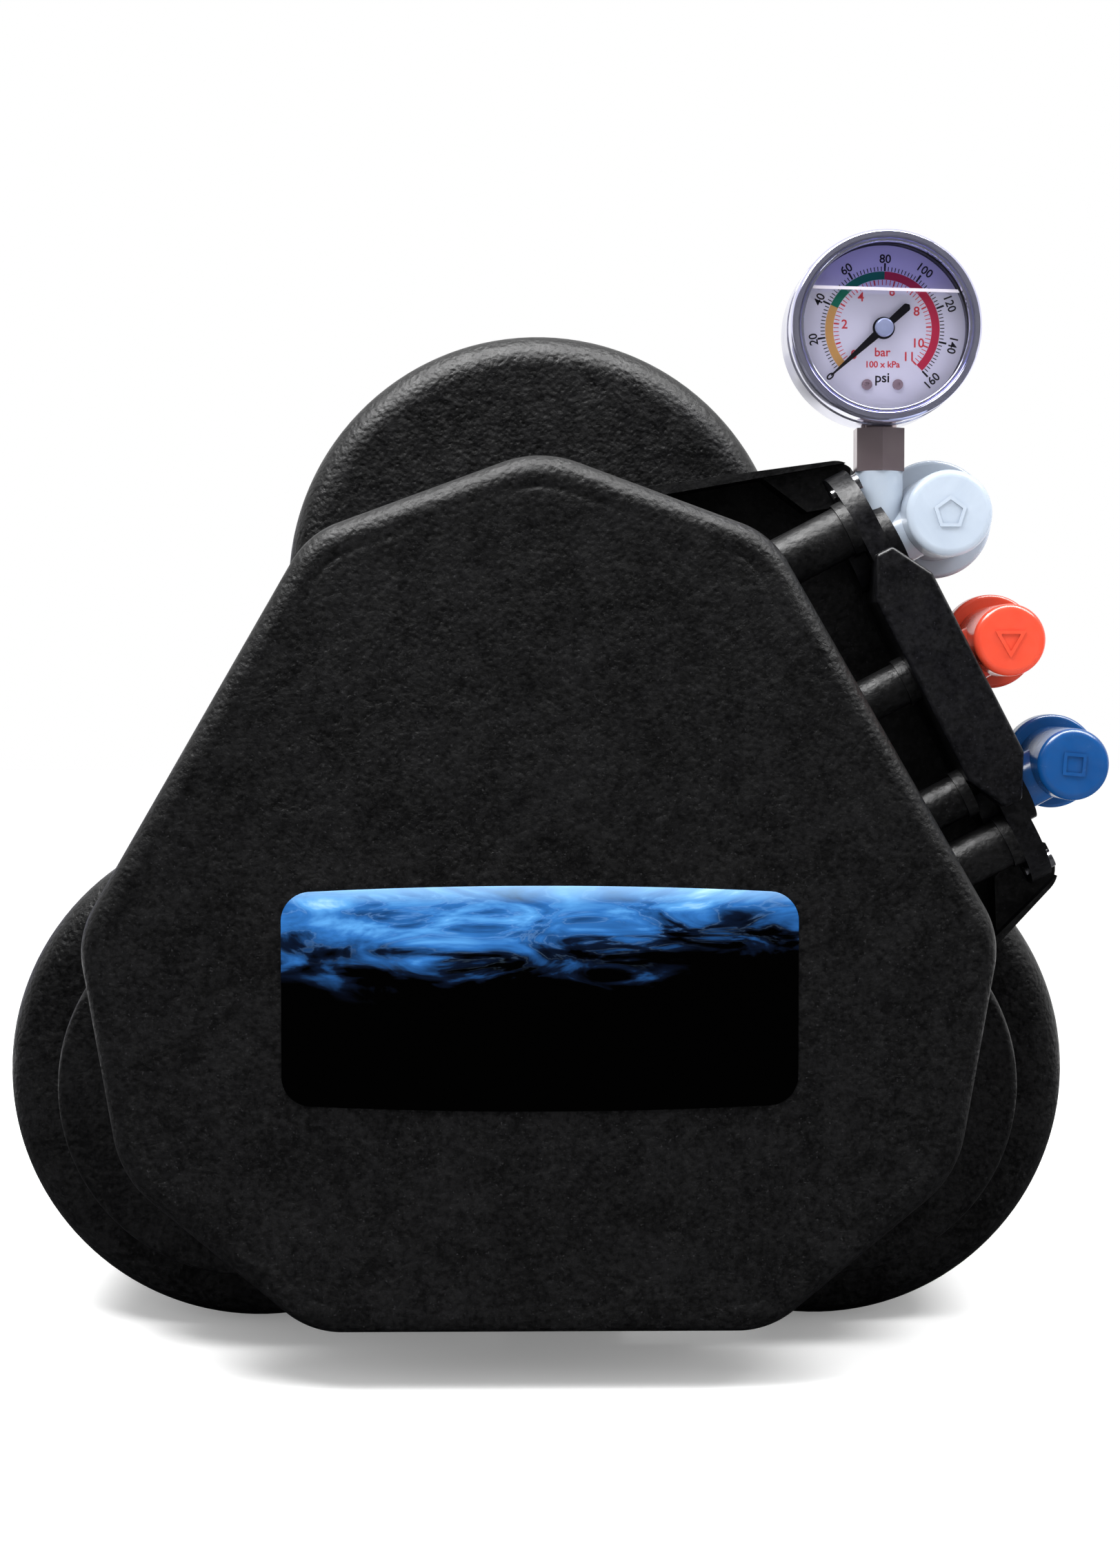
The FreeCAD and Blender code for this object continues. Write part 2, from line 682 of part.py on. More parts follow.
def make_valve_housing():
    body = plate(housing_outline(0), housing_front, housing_rear)
    bosses = [flange_slab(0.0)]
    for name, along in port_along.items():
        start = V(flange_inner + 1, leg_depth, along)
        bosses.append(rod(boss_radius[name], start, ACROSS, port_face[name] - flange_inner - 1))
        bosses.append(rod(12, V(housing_inner, leg_depth, along), ACROSS, 8))
    body = body.multiFuse(bosses)
    cuts = []
    for name, along in port_along.items():
        cuts.append(rod(spigot_bore, V(spigot_start - 3, leg_depth, along), ACROSS, 30))
        seat = port_face[name] - seat_depth
        cuts.append(rod(leg_radius + 0.2, V(seat, leg_depth, along), ACROSS, 30))
    cuts.append(gauge_port_rod(9.0, tee_top))
    cuts.append(rod(shutoff_bore, V(chamber_out, housing_front, shutoff_along), DEEP, 13))
    cuts.append(rod(check_bore, V(chamber_out, housing_front, check_along), DEEP, 22))
    cuts.append(rod(2.5, V(chamber_out, housing_front, check_along), DEEP, 28))
    cuts.append(rod(restrictor_bore, V(chamber_out, housing_front, restrictor_along), DEEP, 12))
    for depth, along in flange_screw_places:
        cuts.append(rod(small_shank + 0.1, V(flange_inner - 1, depth, along), ACROSS, 10))
    for name, (along, outer, bore, end) in transfer_tubes.items():
        reach = 9.0 if end < flange_inner else 4.0
        cuts.append(rod(bore, V(end, transfer_depth, along), ACROSS, reach))
        cuts.append(transfer_body(name))
    return body.cut(cuts).removeSplitter()


def make_valve_cover():
    lid = plate(housing_outline(0), valve_cover_front, housing_front)
    return lid.makeFillet(1.4, edges_at_depth(lid, valve_cover_front))


def make_shutoff_diaphragm():
    """Rubber disc with a thick rim, clamped in the shut-off chamber."""
    profile = [(0, 40.6), (5, 40.6), (7, 41.4), (shutoff_bore - 0.1, 40.2), (shutoff_bore - 0.1, 42.8),
               (7, 42.6), (5, 41.8), (0, 41.8)]
    return turned(profile, chamber_out, shutoff_along)


def make_shutoff_piston():
    profile = [(0, 42.3), (5.5, 42.3, 0.5), (5.5, 44.6), (2.6, 44.6), (2.6, 48), (0, 48)]
    return turned(profile, chamber_out, shutoff_along)


def make_check_poppet():
    profile = [(0, 52), (3.0, 52), (3.0, 54), (5.4, 54), (5.4, 56.5), (3.2, 58.6), (0, 58.6)]
    return turned(profile, chamber_out, check_along)


def make_check_spring():
    """Compression spring behind the check valve's poppet."""
    wire = 0.45
    coil = 4.2
    pitch = 2.4
    height = 12.0
    helix = Part.makeHelix(pitch, height, coil)
    section = Part.Wire(Part.makeCircle(wire, V(coil, 0, 0), V(0, 1, 0)))
    spring = Part.Wire(helix).makePipeShell([section], True, True)
    spring.rotate(V(0, 0, 0), ACROSS, -90)
    spring.translate(V(chamber_out, 41.0, check_along))
    return spring


def make_flow_restrictor():
    profile = [(1, 40.4), (restrictor_bore - 0.1, 40.4, 0.6), (restrictor_bore - 0.1, 50.6, 0.6),
               (1, 50.6)]
    return turned(profile, chamber_out, restrictor_along)


def make_small_screws():
    """Identical short screws: six in the manifold's lid and four in the valve flange."""
    screws = [small_screw(V(x, lid_front, z), DEEP) for x, z in lid_screw_points]
    for depth, along in flange_screw_places:
        start = V(flange_inner + flange_thickness, depth, along)
        screws.append(in_side_frame(small_screw(start, -ACROSS)))
    return group(screws)


# ---------------------------------------------------------------- tube fittings
# Raised mark on each fitting: (number of sides, reach of its corners, turn in the front view).
emblems = {"inlet": (5, 6.2, 90), "drain": (3, 6.6, 270), "product": (4, 5.8, 40)}
emblem_stroke = 1.2
emblem_height = 0.7


def emblem(sides, reach, turn, out, along):
    """Raised outline of a regular polygon on the front end of a fitting."""
    rings = []
    for radius in (reach, reach - emblem_stroke / math.cos(math.pi / sides)):
        corners = [(out + x, along + z, 0.3) for x, z in
                   (polar(radius, turn - side_angle + i * 360 / sides) for i in range(sides))]
        rings.append(plate(corners, elbow_front - emblem_height, elbow_front + 0.5))
    return rings[0].cut(rings[1])


def make_fitting(name):
    """Elbow with a closed round front, a leg into the valve block and a tube port at the rear."""
    out = tee_out if name == "inlet" else elbow_out
    along = port_along[name]
    radius = body_radius[name]
    neck = tube_radius[name] + collet_wall + 3.6
    socket = tube_radius[name] + collet_wall + 0.1
    profile = [
        (0, elbow_front), (radius, elbow_front, 2.6), (radius, elbow_flange_front),
        (disc_radius[name], elbow_flange_front, 1.5), (disc_radius[name], elbow_flange_rear, 1.5),
        (neck, elbow_flange_rear, 1), (neck, elbow_rear, 1.2), (socket, elbow_rear), (socket, 78),
        (tube_radius[name], 78), (tube_radius[name], 68), (4, 68), (4, leg_depth - 2), (0, leg_depth - 2),
    ]
    body = turned(profile, out, along)
    seat = port_face[name] - seat_depth
    start = V(seat, leg_depth, along)
    leg = rod(leg_radius, start, ACROSS, out - seat)
    spigot = rod(spigot_radius, V(spigot_start, leg_depth, along), ACROSS, seat - spigot_start)
    sides, reach, turn = emblems[name]
    pieces = [leg, spigot, emblem(sides, reach, turn, out, along)]
    if name == "inlet":
        pieces.append(gauge_port_rod(8.8, tee_top))
    body = body.multiFuse(pieces)
    cuts = [rod(4, V(spigot_start, leg_depth, along), ACROSS, out - spigot_start)]
    cuts.append(turned([(0, leg_depth), (4, leg_depth), (4, 68), (tube_radius[name], 68),
                        (tube_radius[name], 78), (socket, 78), (socket, elbow_rear), (0, elbow_rear)],
                       out, along))
    cuts.append(tube(spigot_radius + 1, spigot_radius - 1.5, V(169, leg_depth, along), ACROSS, 2.4))
    if name == "inlet":
        cuts.append(gauge_port_rod(4, tee_top))
        cuts.append(gauge_port_rod(stem_radius, tee_top).cut(gauge_port_rod(stem_radius, tee_top - 13)))
    return body.cut(cuts).removeSplitter()


def make_fitting_seals(name):
    """O-ring on the leg's spigot, and the one that grips the tube."""
    out = tee_out if name == "inlet" else elbow_out
    along = port_along[name]
    spigot_section = 0.7
    spigot_ring = ring(spigot_bore - 0.03 - spigot_section, spigot_section, V(170.2, leg_depth, along), ACROSS)
    inner = tube_radius[name] + 0.1
    outer = tube_radius[name] + collet_wall + 0.05
    tube_ring = turned([(inner, 79, 0.8), (outer, 79, 0.8), (outer, 82, 0.8), (inner, 82, 0.8)], out, along)
    return group([spigot_ring, tube_ring])


def make_collet(name):
    """Push-in collar that grips the tube; pressing it in frees the tube."""
    out = tee_out if name == "inlet" else elbow_out
    bore = tube_radius[name]
    outer = bore + collet_wall
    profile = [(bore, 85), (outer, 85), (outer, elbow_rear + collet_travel + 0.3),
               (outer + 2.0, elbow_rear + collet_travel + 0.3, 0.5), (outer + 2.0, elbow_rear + 4.6, 0.8),
               (bore, elbow_rear + 4.6)]
    collet = turned(profile, out, port_along[name])
    slots = []
    for turn in (45, 135):
        slot = Part.makeBox(60, 10, 1.2, V(-30, 84, -0.6))
        slot.rotate(V(0, 0, 0), DEEP, turn)
        slot.translate(V(out, 0, port_along[name]))
        slots.append(slot)
    return collet.cut(slots).removeSplitter()


# ---------------------------------------------------------------- pressure gauge
gauge_rear = gauge_front + gauge_depth
case_step = gauge_front + 13.3
dial_front = 55.0
needle_front = 51.5


def make_gauge_case():
    """Drawn steel pan, wider behind the bezel."""
    wall = 1.2
    case_front = gauge_front + 6
    profile = [(case_radius - 1, case_front), (case_radius, case_front), (case_radius, case_step),
               (case_rear_radius, case_step, 0.8), (case_rear_radius, gauge_rear, 2.5),
               (4, gauge_rear), (4, gauge_rear - wall), (case_rear_radius - wall, gauge_rear - wall, 1.5),
               (case_rear_radius - wall, case_step + wall), (case_radius - 1, case_step + wall)]
    case = turned(profile, gauge_x, gauge_z)
    stem_hole = rod(stem_radius + 0.05, V(gauge_x, leg_depth, tee_top), UP, 30)
    return case.cut(stem_hole).removeSplitter()


def make_gauge_bezel():
    """Bayonet ring, rolled over the window at the front."""
    rear = case_step - 0.3
    profile = [(window_radius, gauge_front + 1.4), (window_radius + 0.8, gauge_front, 0.4),
               (bezel_radius, gauge_front, 3.6), (bezel_radius, rear, 0.6), (case_radius + 0.05, rear),
               (case_radius + 0.05, gauge_front + 3.4), (window_radius, gauge_front + 3.4)]
    return turned(profile, gauge_x, gauge_z)


def make_gauge_lens():
    front = gauge_front + 3.4
    return rod(case_radius, V(gauge_x, front, gauge_z), DEEP, 2.0)


def make_gauge_dial():
    radius = case_radius - 1.3
    dial = rod(radius, V(gauge_x, dial_front, gauge_z), DEEP, 0.8)
    arbor_hole = rod(2.2, V(gauge_x, 0, gauge_z), DEEP, gauge_rear)
    screw_holes = [rod(1.0, V(gauge_x + x, 0, gauge_z + z), DEEP, gauge_rear) for x, z in dial_screw_places]
    return dial.cut([arbor_hole] + screw_holes)


dial_screw_places = [(-5.6, -20.0), (5.6, -20.0)]


def make_dial_screws():
    screws = []
    for x, z in dial_screw_places:
        start = V(gauge_x + x, dial_front, gauge_z + z)
        screws.append(screw(start, DEEP, 1.0, 5.0, 1.9, 0.9))
    return group(screws)


def make_gauge_needle():
    """Tapered pointer with a counterweight tail, a hub and the arbor behind it."""
    thickness = 0.7
    blade = [(25.5, 0.25), (2.5, 1.5), (-3, 1.3), (-11.6, 1.5, 0.9), (-12.6, 0, 0.4),
             (-11.6, -1.5, 0.9), (-3, -1.3), (2.5, -1.5), (25.5, -0.25)]
    needle = plate(blade, needle_front, needle_front + thickness)
    needle = needle.fuse(rod(4.0, V(0, needle_front, 0), DEEP, thickness))
    needle = needle.fuse(rod(3.3, V(0, needle_front - 1.6, 0), DEEP, 1.6))
    needle = needle.fuse(rod(1.0, V(0, needle_front, 0), DEEP, 16))
    needle = needle.fuse(rod(1.9, V(0, 60.5, 0), DEEP, 2.5))
    needle.rotate(V(0, 0, 0), DEEP, -zero_angle)
    needle.translate(V(gauge_x, 0, gauge_z))
    return needle.removeSplitter()


def make_sector_gear():
    """Quadrant that turns the pointer's arbor when the curved tube straightens."""
    pivot = V(gauge_x + 12.0, 60.8, gauge_z - 1.0)
    disc = rod(9.7, pivot, DEEP, 1.6)
    wedge = plate([(0, 0), (-16, 7), (-16, -7)], 60, 63)
    wedge.translate(V(pivot.x + 2.5, 0, pivot.z))
    blade = disc.common(wedge)
    hub = rod(2.2, pivot, DEEP, 3.0)
    return blade.fuse(hub).cut(rod(1.0, pivot, DEEP, 4)).removeSplitter()


def make_bourdon_tube():
    """Flat curved tube that straightens under pressure, from the stem round to the link."""
    mean_radius = 23.5
    section = outline([(mean_radius - 1.2, 67, 1.1), (mean_radius + 1.2, 67, 1.1),
                       (mean_radius + 1.2, 72, 1.1), (mean_radius - 1.2, 72, 1.1)], lambda p: V(p.x, p.y, 0))
    curve = section.revolve(V(0, 0, 0), DEEP, 218)
    curve.rotate(V(0, 0, 0), DEEP, 112)
    curve.translate(V(gauge_x, 0, gauge_z))
    return curve


def make_gauge_stem():
    """Brass stem: threaded end in the tee, hexagon, and the block that carries the works."""
    hex_corners = [polar(stem_hex_radius, i * 60 + 30) for i in range(6)]
    face = outline(hex_corners, lambda p: V(p.x, p.y, 0))
    hexagon = face.extrude(V(0, 0, gauge_z - case_rear_radius - 0.6 - tee_top))
    thread = rod(stem_radius, V(0, 0, -12), UP, 12)
    collar_length = gauge_z - case_radius + 2.4 - tee_top
    neck = rod(stem_radius, V(0, 0, 0), UP, collar_length)
    block_height = 12.2
    block = Part.makeBox(15, 9, block_height, V(-7.5, -4.5, collar_length))
    stem = hexagon.multiFuse([thread, neck, block])
    stem.translate(V(gauge_x, leg_depth, tee_top))
    holes = [rod(1.5, V(gauge_x, leg_depth, tee_top - 12), UP, 40)]
    for x, z in dial_screw_places:
        holes.append(rod(1.0, V(gauge_x + x, dial_front, gauge_z + z), DEEP, 5))
    return stem.cut(holes).removeSplitter()


def make_gauge_movement():
    """Bracket behind the dial that carries the arbor and the quadrant."""
    plate_rear = 66.0
    bracket = Part.makeBox(26, 1.4, 22, V(-8, plate_rear - 1.4, -12))
    foot = Part.makeBox(10, 3, 6, V(-5, plate_rear - 1.4, -17.9))
    pivot_post = rod(0.95, V(12.0, 60.0, -1.0), DEEP, plate_rear - 60.5)
    bracket = bracket.multiFuse([foot, pivot_post]).cut(rod(1.1, V(0, 0, 0), DEEP, plate_rear + 5))
    bracket.translate(V(gauge_x, 0, gauge_z))
    return bracket.removeSplitter()


def make_vent_plug():
    """Rubber blow-out plug in the middle of the gauge's back."""
    profile = [(0, gauge_rear - 2), (3.95, gauge_rear - 2), (3.95, gauge_rear), (7, gauge_rear, 0.4),
               (7, gauge_rear + 1.2, 0.5), (0, gauge_rear + 1.2)]
    return turned(profile, gauge_x, gauge_z)


# ---------------------------------------------------------------- writing the nodes
def main():
    os.makedirs("parts", exist_ok=True)
    save("front_cover", make_front_cover())
    save("front_label", make_front_label())
    save("manifold_body", make_manifold_body())
    save("manifold_gasket", make_manifold_gasket())
    save("manifold_lid", make_manifold_lid())
    save("body_screws", make_body_screws())
    save("small_screws", make_small_screws())
    save("base_foot", make_base_foot())
    for place in drum_places:
        save("canister_head_" + place, make_head(place))
        save("canister_sump_" + place, make_sump(place))
        save("sump_seal_" + place, make_sump_seal(place))
        save("element_end_caps_" + place, make_end_caps(place))
    for place in ("left", "right"):
        save("membrane_" + place, make_element(place))
        save("brine_seal_" + place, make_brine_seal(place))
        save("permeate_tube_" + place, make_core(place))
    save("carbon_block", make_element("top"))
    save("carbon_core", make_core("top"))
    save_side("side_panel", make_side_panel())
    save_side("valve_housing", make_valve_housing())
    save_side("valve_cover", make_valve_cover())
    save_side("shutoff_diaphragm", make_shutoff_diaphragm())
    save_side("shutoff_piston", make_shutoff_piston())
    save_side("check_poppet", make_check_poppet())
    save_side("check_spring", make_check_spring())
    save_side("flow_restrictor", make_flow_restrictor())
    for name in transfer_tubes:
        save_side("transfer_tube_" + name, make_transfer_tube(name))
    for name in port_along:
        save_side(name + ("_tee" if name == "inlet" else "_elbow"), make_fitting(name))
        save_side(name + "_seals", make_fitting_seals(name))
        save_side(name + "_collet", make_collet(name))
    save("gauge_stem", make_gauge_stem())
    save("gauge_case", make_gauge_case())
    save("gauge_bezel", make_gauge_bezel())
    save("gauge_lens", make_gauge_lens())
    save("gauge_dial", make_gauge_dial())
    save("dial_screws", make_dial_screws())
    save("gauge_needle", make_gauge_needle())
    save("sector_gear", make_sector_gear())
    save("bourdon_tube", make_bourdon_tube())
    save("gauge_movement", make_gauge_movement())
    save("gauge_vent_plug", make_vent_plug())


main()
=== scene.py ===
import json
import math

import bmesh
import bpy
from mathutils import Matrix, Vector, noise


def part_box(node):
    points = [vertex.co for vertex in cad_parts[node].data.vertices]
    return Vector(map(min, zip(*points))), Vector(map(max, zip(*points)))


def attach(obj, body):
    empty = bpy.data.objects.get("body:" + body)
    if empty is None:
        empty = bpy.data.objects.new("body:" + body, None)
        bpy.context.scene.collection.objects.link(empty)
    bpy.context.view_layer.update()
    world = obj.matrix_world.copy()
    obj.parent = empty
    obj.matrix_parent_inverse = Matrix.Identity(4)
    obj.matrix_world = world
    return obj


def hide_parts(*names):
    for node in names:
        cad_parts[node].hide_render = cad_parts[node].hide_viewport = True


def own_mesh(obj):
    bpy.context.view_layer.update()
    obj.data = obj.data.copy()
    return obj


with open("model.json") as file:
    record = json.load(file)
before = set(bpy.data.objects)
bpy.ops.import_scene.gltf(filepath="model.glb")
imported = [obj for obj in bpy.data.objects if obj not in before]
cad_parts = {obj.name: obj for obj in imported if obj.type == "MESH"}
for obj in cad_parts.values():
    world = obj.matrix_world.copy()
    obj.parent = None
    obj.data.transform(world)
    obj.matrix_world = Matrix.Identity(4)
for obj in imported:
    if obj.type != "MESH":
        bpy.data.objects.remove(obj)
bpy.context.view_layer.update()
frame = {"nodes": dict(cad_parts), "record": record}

# Looks of the reverse osmosis unit: black moulded canisters and cover, printed label, valve side,
# three coloured tube fittings and a liquid-filled pressure gauge.
#
# Meshes are drawn in millimetres and made in metres. x and z are the row frame's own;
# depth is measured backwards from the cover's front face.

MM = 0.001
SHARP_DEGREES = 40.0
MERGE_DISTANCE = 0.5e-6
BEVEL_DEGREES = 32.0
WELD_DISTANCE = 2e-6
front_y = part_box("front_cover")[0].y / MM


# ---------------------------------------------------------------- places read from the frame
def middle(node):
    """Centre of a node's box, in millimetres."""
    low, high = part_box(node)
    return (low + high) / 2 / MM


def half_size(node):
    """Half of a node's width, depth and height, in millimetres."""
    low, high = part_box(node)
    return (high - low) / 2 / MM


def depth_of(node):
    """Front and rear depth of a node, in millimetres."""
    low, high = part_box(node)
    return low.y / MM - front_y, high.y / MM - front_y


DRUMS = ("top", "left", "right")
drum_centres = {place: middle("canister_head_" + place) for place in DRUMS}
unit_z = sum(centre.z for centre in drum_centres.values()) / 3
gauge = middle("gauge_bezel")


# ---------------------------------------------------------------- mesh helpers
def place_mesh(name, mesh):
    """Puts a mesh into the scene as one object."""
    piece = bpy.data.objects.new(name, mesh)
    bpy.context.scene.collection.objects.link(piece)
    return piece


def make_object(name, points, faces):
    """Mesh object from points in millimetres (x, depth, z); points in the same place are merged."""
    mesh = bpy.data.meshes.new(name)
    places = [(x * MM, (depth + front_y) * MM, z * MM) for x, depth, z in points]
    mesh.from_pydata(places, [], faces)
    work = bmesh.new()
    work.from_mesh(mesh)
    bmesh.ops.remove_doubles(work, verts=work.verts, dist=MERGE_DISTANCE)
    bmesh.ops.recalc_face_normals(work, faces=work.faces)
    work.to_mesh(mesh)
    work.free()
    mesh.shade_smooth()
    mesh.set_sharp_from_angle(angle=math.radians(SHARP_DEGREES))
    return place_mesh(name, mesh)


def dress(piece, slot, body="frame", replaces=(), look=None):
    """Gives a piece its finish and body, and hides the CAD nodes that it stands for."""
    piece.data.materials.append(look or finishes[slot])
    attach(piece, body)
    if replaces:
        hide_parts(*replaces)
    return piece


def rounded(corners, steps=6):
    """Closed outline from (u, v, rounding) corners, with each rounding as a short arc."""
    flat = [Vector((corner[0], corner[1])) for corner in corners]
    points = []
    for i, corner in enumerate(corners):
        here = flat[i]
        radius = corner[2] if len(corner) > 2 else 0.0
        back = (flat[i - 1] - here).normalized()
        ahead = (flat[(i + 1) % len(flat)] - here).normalized()
        if radius <= 0 or abs(back.cross(ahead)) < 1e-6:
            points.append(here)
            continue
        half = back.angle(ahead) / 2
        centre = here + (back + ahead).normalized() * (radius / math.sin(half))
        start = here + back * (radius / math.tan(half)) - centre
        turn = math.pi - 2 * half
        sign = 1 if back.cross(ahead) < 0 else -1
        for k in range(steps + 1):
            swing = Matrix.Rotation(sign * turn * k / steps, 2)
            points.append(centre + swing @ start)
    return points


def joined_arcs(arcs, arc_steps, edge_steps):
    """The corner arcs of an outline, with points added along the straight edges between them."""
    size = arc_steps + 1
    points = []
    for start in range(0, len(arcs), size):
        arc = arcs[start:start + size]
        following = arcs[(start + size) % len(arcs)]
        points += arc
        points += [arc[-1].lerp(following, k / edge_steps) for k in range(1, edge_steps)]
    return points


def lathe(name, profile, centre, segments=128, steps=6, wave=None):
    """Closed profile of (radius, depth, rounding) turned about a line along the depth."""
    outline = rounded(profile, steps)
    points = []
    faces = []
    count = len(outline)
    for i in range(segments):
        angle = 2 * math.pi * i / segments
        for radius, depth in outline:
            reach = radius + (wave(radius, depth, angle) if wave else 0.0)
            points.append((centre.x + reach * math.cos(angle), depth, centre.z + reach * math.sin(angle)))
        here = i * count
        there = (i + 1) % segments * count
        for k in range(count):
            after = (k + 1) % count
            faces.append((here + k, here + after, there + after, there + k))
    return make_object(name, points, faces)


def loft(name, rings):
    """Skin over closed rings of equal length, with both ends closed."""
    points = [point for ring in rings for point in ring]
    count = len(rings[0])
    faces = []
    for here in range(0, len(points) - count, count):
        there = here + count
        for i in range(count):
            after = (i + 1) % count
            faces.append((here + i, here + after, there + after, there + i))
    faces.append(tuple(range(count)))
    faces.append(tuple(range(len(points) - count, len(points))))
    return make_object(name, points, faces)


def soft_edges(piece, width):
    """Small rounding on a carried-over CAD node's hard edges."""
    weld = piece.modifiers.new("weld", "WELD")
    weld.merge_threshold = WELD_DISTANCE
    bevel = piece.modifiers.new("bevel", "BEVEL")
    bevel.width = width * MM
    bevel.segments = 3
    bevel.limit_method = "ANGLE"
    bevel.angle_limit = math.radians(BEVEL_DEGREES)
    bevel.use_clamp_overlap = True
    bevel.harden_normals = False
    smooth = piece.modifiers.new("normals", "WEIGHTED_NORMAL")
    smooth.keep_sharp = True


# ---------------------------------------------------------------- material helpers
class Finish:
    """One procedural material; each method adds a node and returns its output."""

    def __init__(self, name):
        self.material = bpy.data.materials.new(name)
        self.material.use_nodes = True
        self.tree = self.material.node_tree
        self.tree.nodes.clear()
        self.output = self.tree.nodes.new("ShaderNodeOutputMaterial")
        self.shader = self.tree.nodes.new("ShaderNodeBsdfPrincipled")
        self.tree.links.new(self.shader.outputs["BSDF"], self.output.inputs["Surface"])
        self.place = self.tree.nodes.new("ShaderNodeTexCoord").outputs["Object"]

    def put(self, socket, value):
        """Links another node's output to a socket, or sets the socket's own value."""
        if isinstance(value, bpy.types.NodeSocket):
            self.tree.links.new(value, socket)
        elif socket.type == "RGBA" and len(value) == 3:
            socket.default_value = (*value, 1.0)
        else:
            socket.default_value = value

    def set(self, **values):
        """Sockets of the main shader, with underscores for the spaces in their names."""
        for name, value in values.items():
            self.put(self.shader.inputs[name.replace("_", " ")], value)

    def stretched(self, scale, turn, shift=(0, 0, 0)):
        """The object's coordinates, scaled, turned and moved."""
        node = self.tree.nodes.new("ShaderNodeMapping")
        node.inputs["Location"].default_value = shift
        node.inputs["Rotation"].default_value = turn
        node.inputs["Scale"].default_value = scale
        self.put(node.inputs["Vector"], self.place)
        return node.outputs["Vector"]

    def noise(self, scale, detail, rough=0.5, distortion=0.0, place=None):
        """Cloudy pattern; a larger scale makes it finer."""
        node = self.tree.nodes.new("ShaderNodeTexNoise")
        node.inputs["Scale"].default_value = scale
        node.inputs["Detail"].default_value = detail
        node.inputs["Roughness"].default_value = rough
        node.inputs["Distortion"].default_value = distortion
        self.put(node.inputs["Vector"], place or self.place)
        return node.outputs["Fac"]

    def cells(self, scale):
        """Distance from the middle of soft, pebble-like cells."""
        node = self.tree.nodes.new("ShaderNodeTexVoronoi")
        node.feature = "SMOOTH_F1"
        node.inputs["Scale"].default_value = scale
        self.put(node.inputs["Vector"], self.place)
        return node.outputs["Distance"]

    def span(self, value, low, high, to_low=0.0, to_high=1.0):
        """The value's range from low to high, mapped and clamped."""
        node = self.tree.nodes.new("ShaderNodeMapRange")
        limits = {"From Min": low, "From Max": high, "To Min": to_low, "To Max": to_high}
        for name, number in limits.items():
            node.inputs[name].default_value = number
        self.put(node.inputs["Value"], value)
        return node.outputs["Result"]

    def maths(self, operation, *values):
        """One step of arithmetic on numbers or other nodes' outputs."""
        node = self.tree.nodes.new("ShaderNodeMath")
        node.operation = operation
        for socket, value in zip(node.inputs, values):
            self.put(socket, value)
        return node.outputs["Value"]

    def ramp(self, value, stops):
        """Colour by value; stops are (position, colour)."""
        node = self.tree.nodes.new("ShaderNodeValToRGB")
        points = node.color_ramp.elements
        while len(points) < len(stops):
            points.new(0.5)
        for point, (position, colour) in zip(points, stops):
            point.position = position
            point.color = (*colour, 1.0)
        self.put(node.inputs["Fac"], value)
        return node.outputs["Color"]

    def mix(self, share, first, second):
        """The first colour, with a share of the second."""
        node = self.tree.nodes.new("ShaderNodeMix")
        node.data_type = "RGBA"
        self.put(node.inputs[0], share)
        self.put(node.inputs[6], first)
        self.put(node.inputs[7], second)
        return node.outputs[2]

    def axes(self):
        """The object's own x, y and z."""
        node = self.tree.nodes.new("ShaderNodeSeparateXYZ")
        self.put(node.inputs["Vector"], self.place)
        return node.outputs

    def bump(self, height, distance, strength, below=None):
        """Surface relief, laid over another relief if one is given."""
        node = self.tree.nodes.new("ShaderNodeBump")
        node.inputs["Strength"].default_value = strength
        node.inputs["Distance"].default_value = distance
        self.put(node.inputs["Height"], height)
        if below:
            self.put(node.inputs["Normal"], below)
        return node.outputs["Normal"]


# ---------------------------------------------------------------- materials
def moulded_black(name, deep, pale, rough, grain, specular, scratches=0.0):
    """Grained black moulding: mottled and dusty colour, uneven gloss, pebbled and creased surface."""
    look = Finish(name)
    pebble = look.cells(560.0)
    fine = look.noise(460.0, 5.0, 0.7)
    cloud = look.noise(42.0, 6.0, 0.65, 0.6)
    blend = look.maths("ADD", look.maths("MULTIPLY", fine, 0.65), look.maths("MULTIPLY", cloud, 0.35))
    colour = look.mix(look.span(blend, 0.42, 0.60), deep, pale)
    dusty = [channel * 5 for channel in pale]
    speck = look.span(look.noise(1300.0, 2.0, 0.5), 0.66, 0.74)
    colour = look.mix(look.maths("MULTIPLY", speck, 0.5), colour, dusty)
    if scratches:
        along = look.stretched((6.0, 6.0, 160.0), (0, 0.5, 0))
        line = look.noise(22.0, 2.0, 0.5, 1.5, along)
        mark = look.maths("MULTIPLY", look.span(line, 0.74, 0.765), scratches)
        colour = look.mix(mark, colour, [channel + 0.01 for channel in dusty])
    gloss = look.span(look.noise(160.0, 4.0, 0.65), 0.3, 0.7, rough - 0.09, rough + 0.1)
    uneven = look.bump(look.noise(20.0, 3.0, 0.6, 0.8), 0.0012, 0.35)
    patch = look.span(look.noise(9.0, 2.0, 0.5, 0.5), 0.46, 0.62)
    folds = look.maths("MULTIPLY", look.noise(70.0, 4.0, 0.6, 1.8), patch)
    creased = look.bump(folds, 0.0012, 0.5, uneven)
    grained = look.bump(look.maths("ADD", pebble, look.maths("MULTIPLY", fine, 1.2)), grain, 0.8, creased)
    look.set(Base_Color=colour, Roughness=gloss, Normal=grained, Specular_IOR_Level=specular)
    return look.material


def water_height(look, across, up):
    """Height over the water's wavy lower edge, which rises to the right."""
    waviness = 0.7
    rise = 0.14
    wave = look.maths("SUBTRACT", look.noise(11.0, 2.0, 0.5, 0.6), 0.5)
    height = look.maths("ADD", up, look.maths("MULTIPLY", wave, waviness))
    rightwards = look.maths("MAXIMUM", across, -0.2)
    return look.maths("SUBTRACT", height, look.maths("MULTIPLY", rightwards, rise))


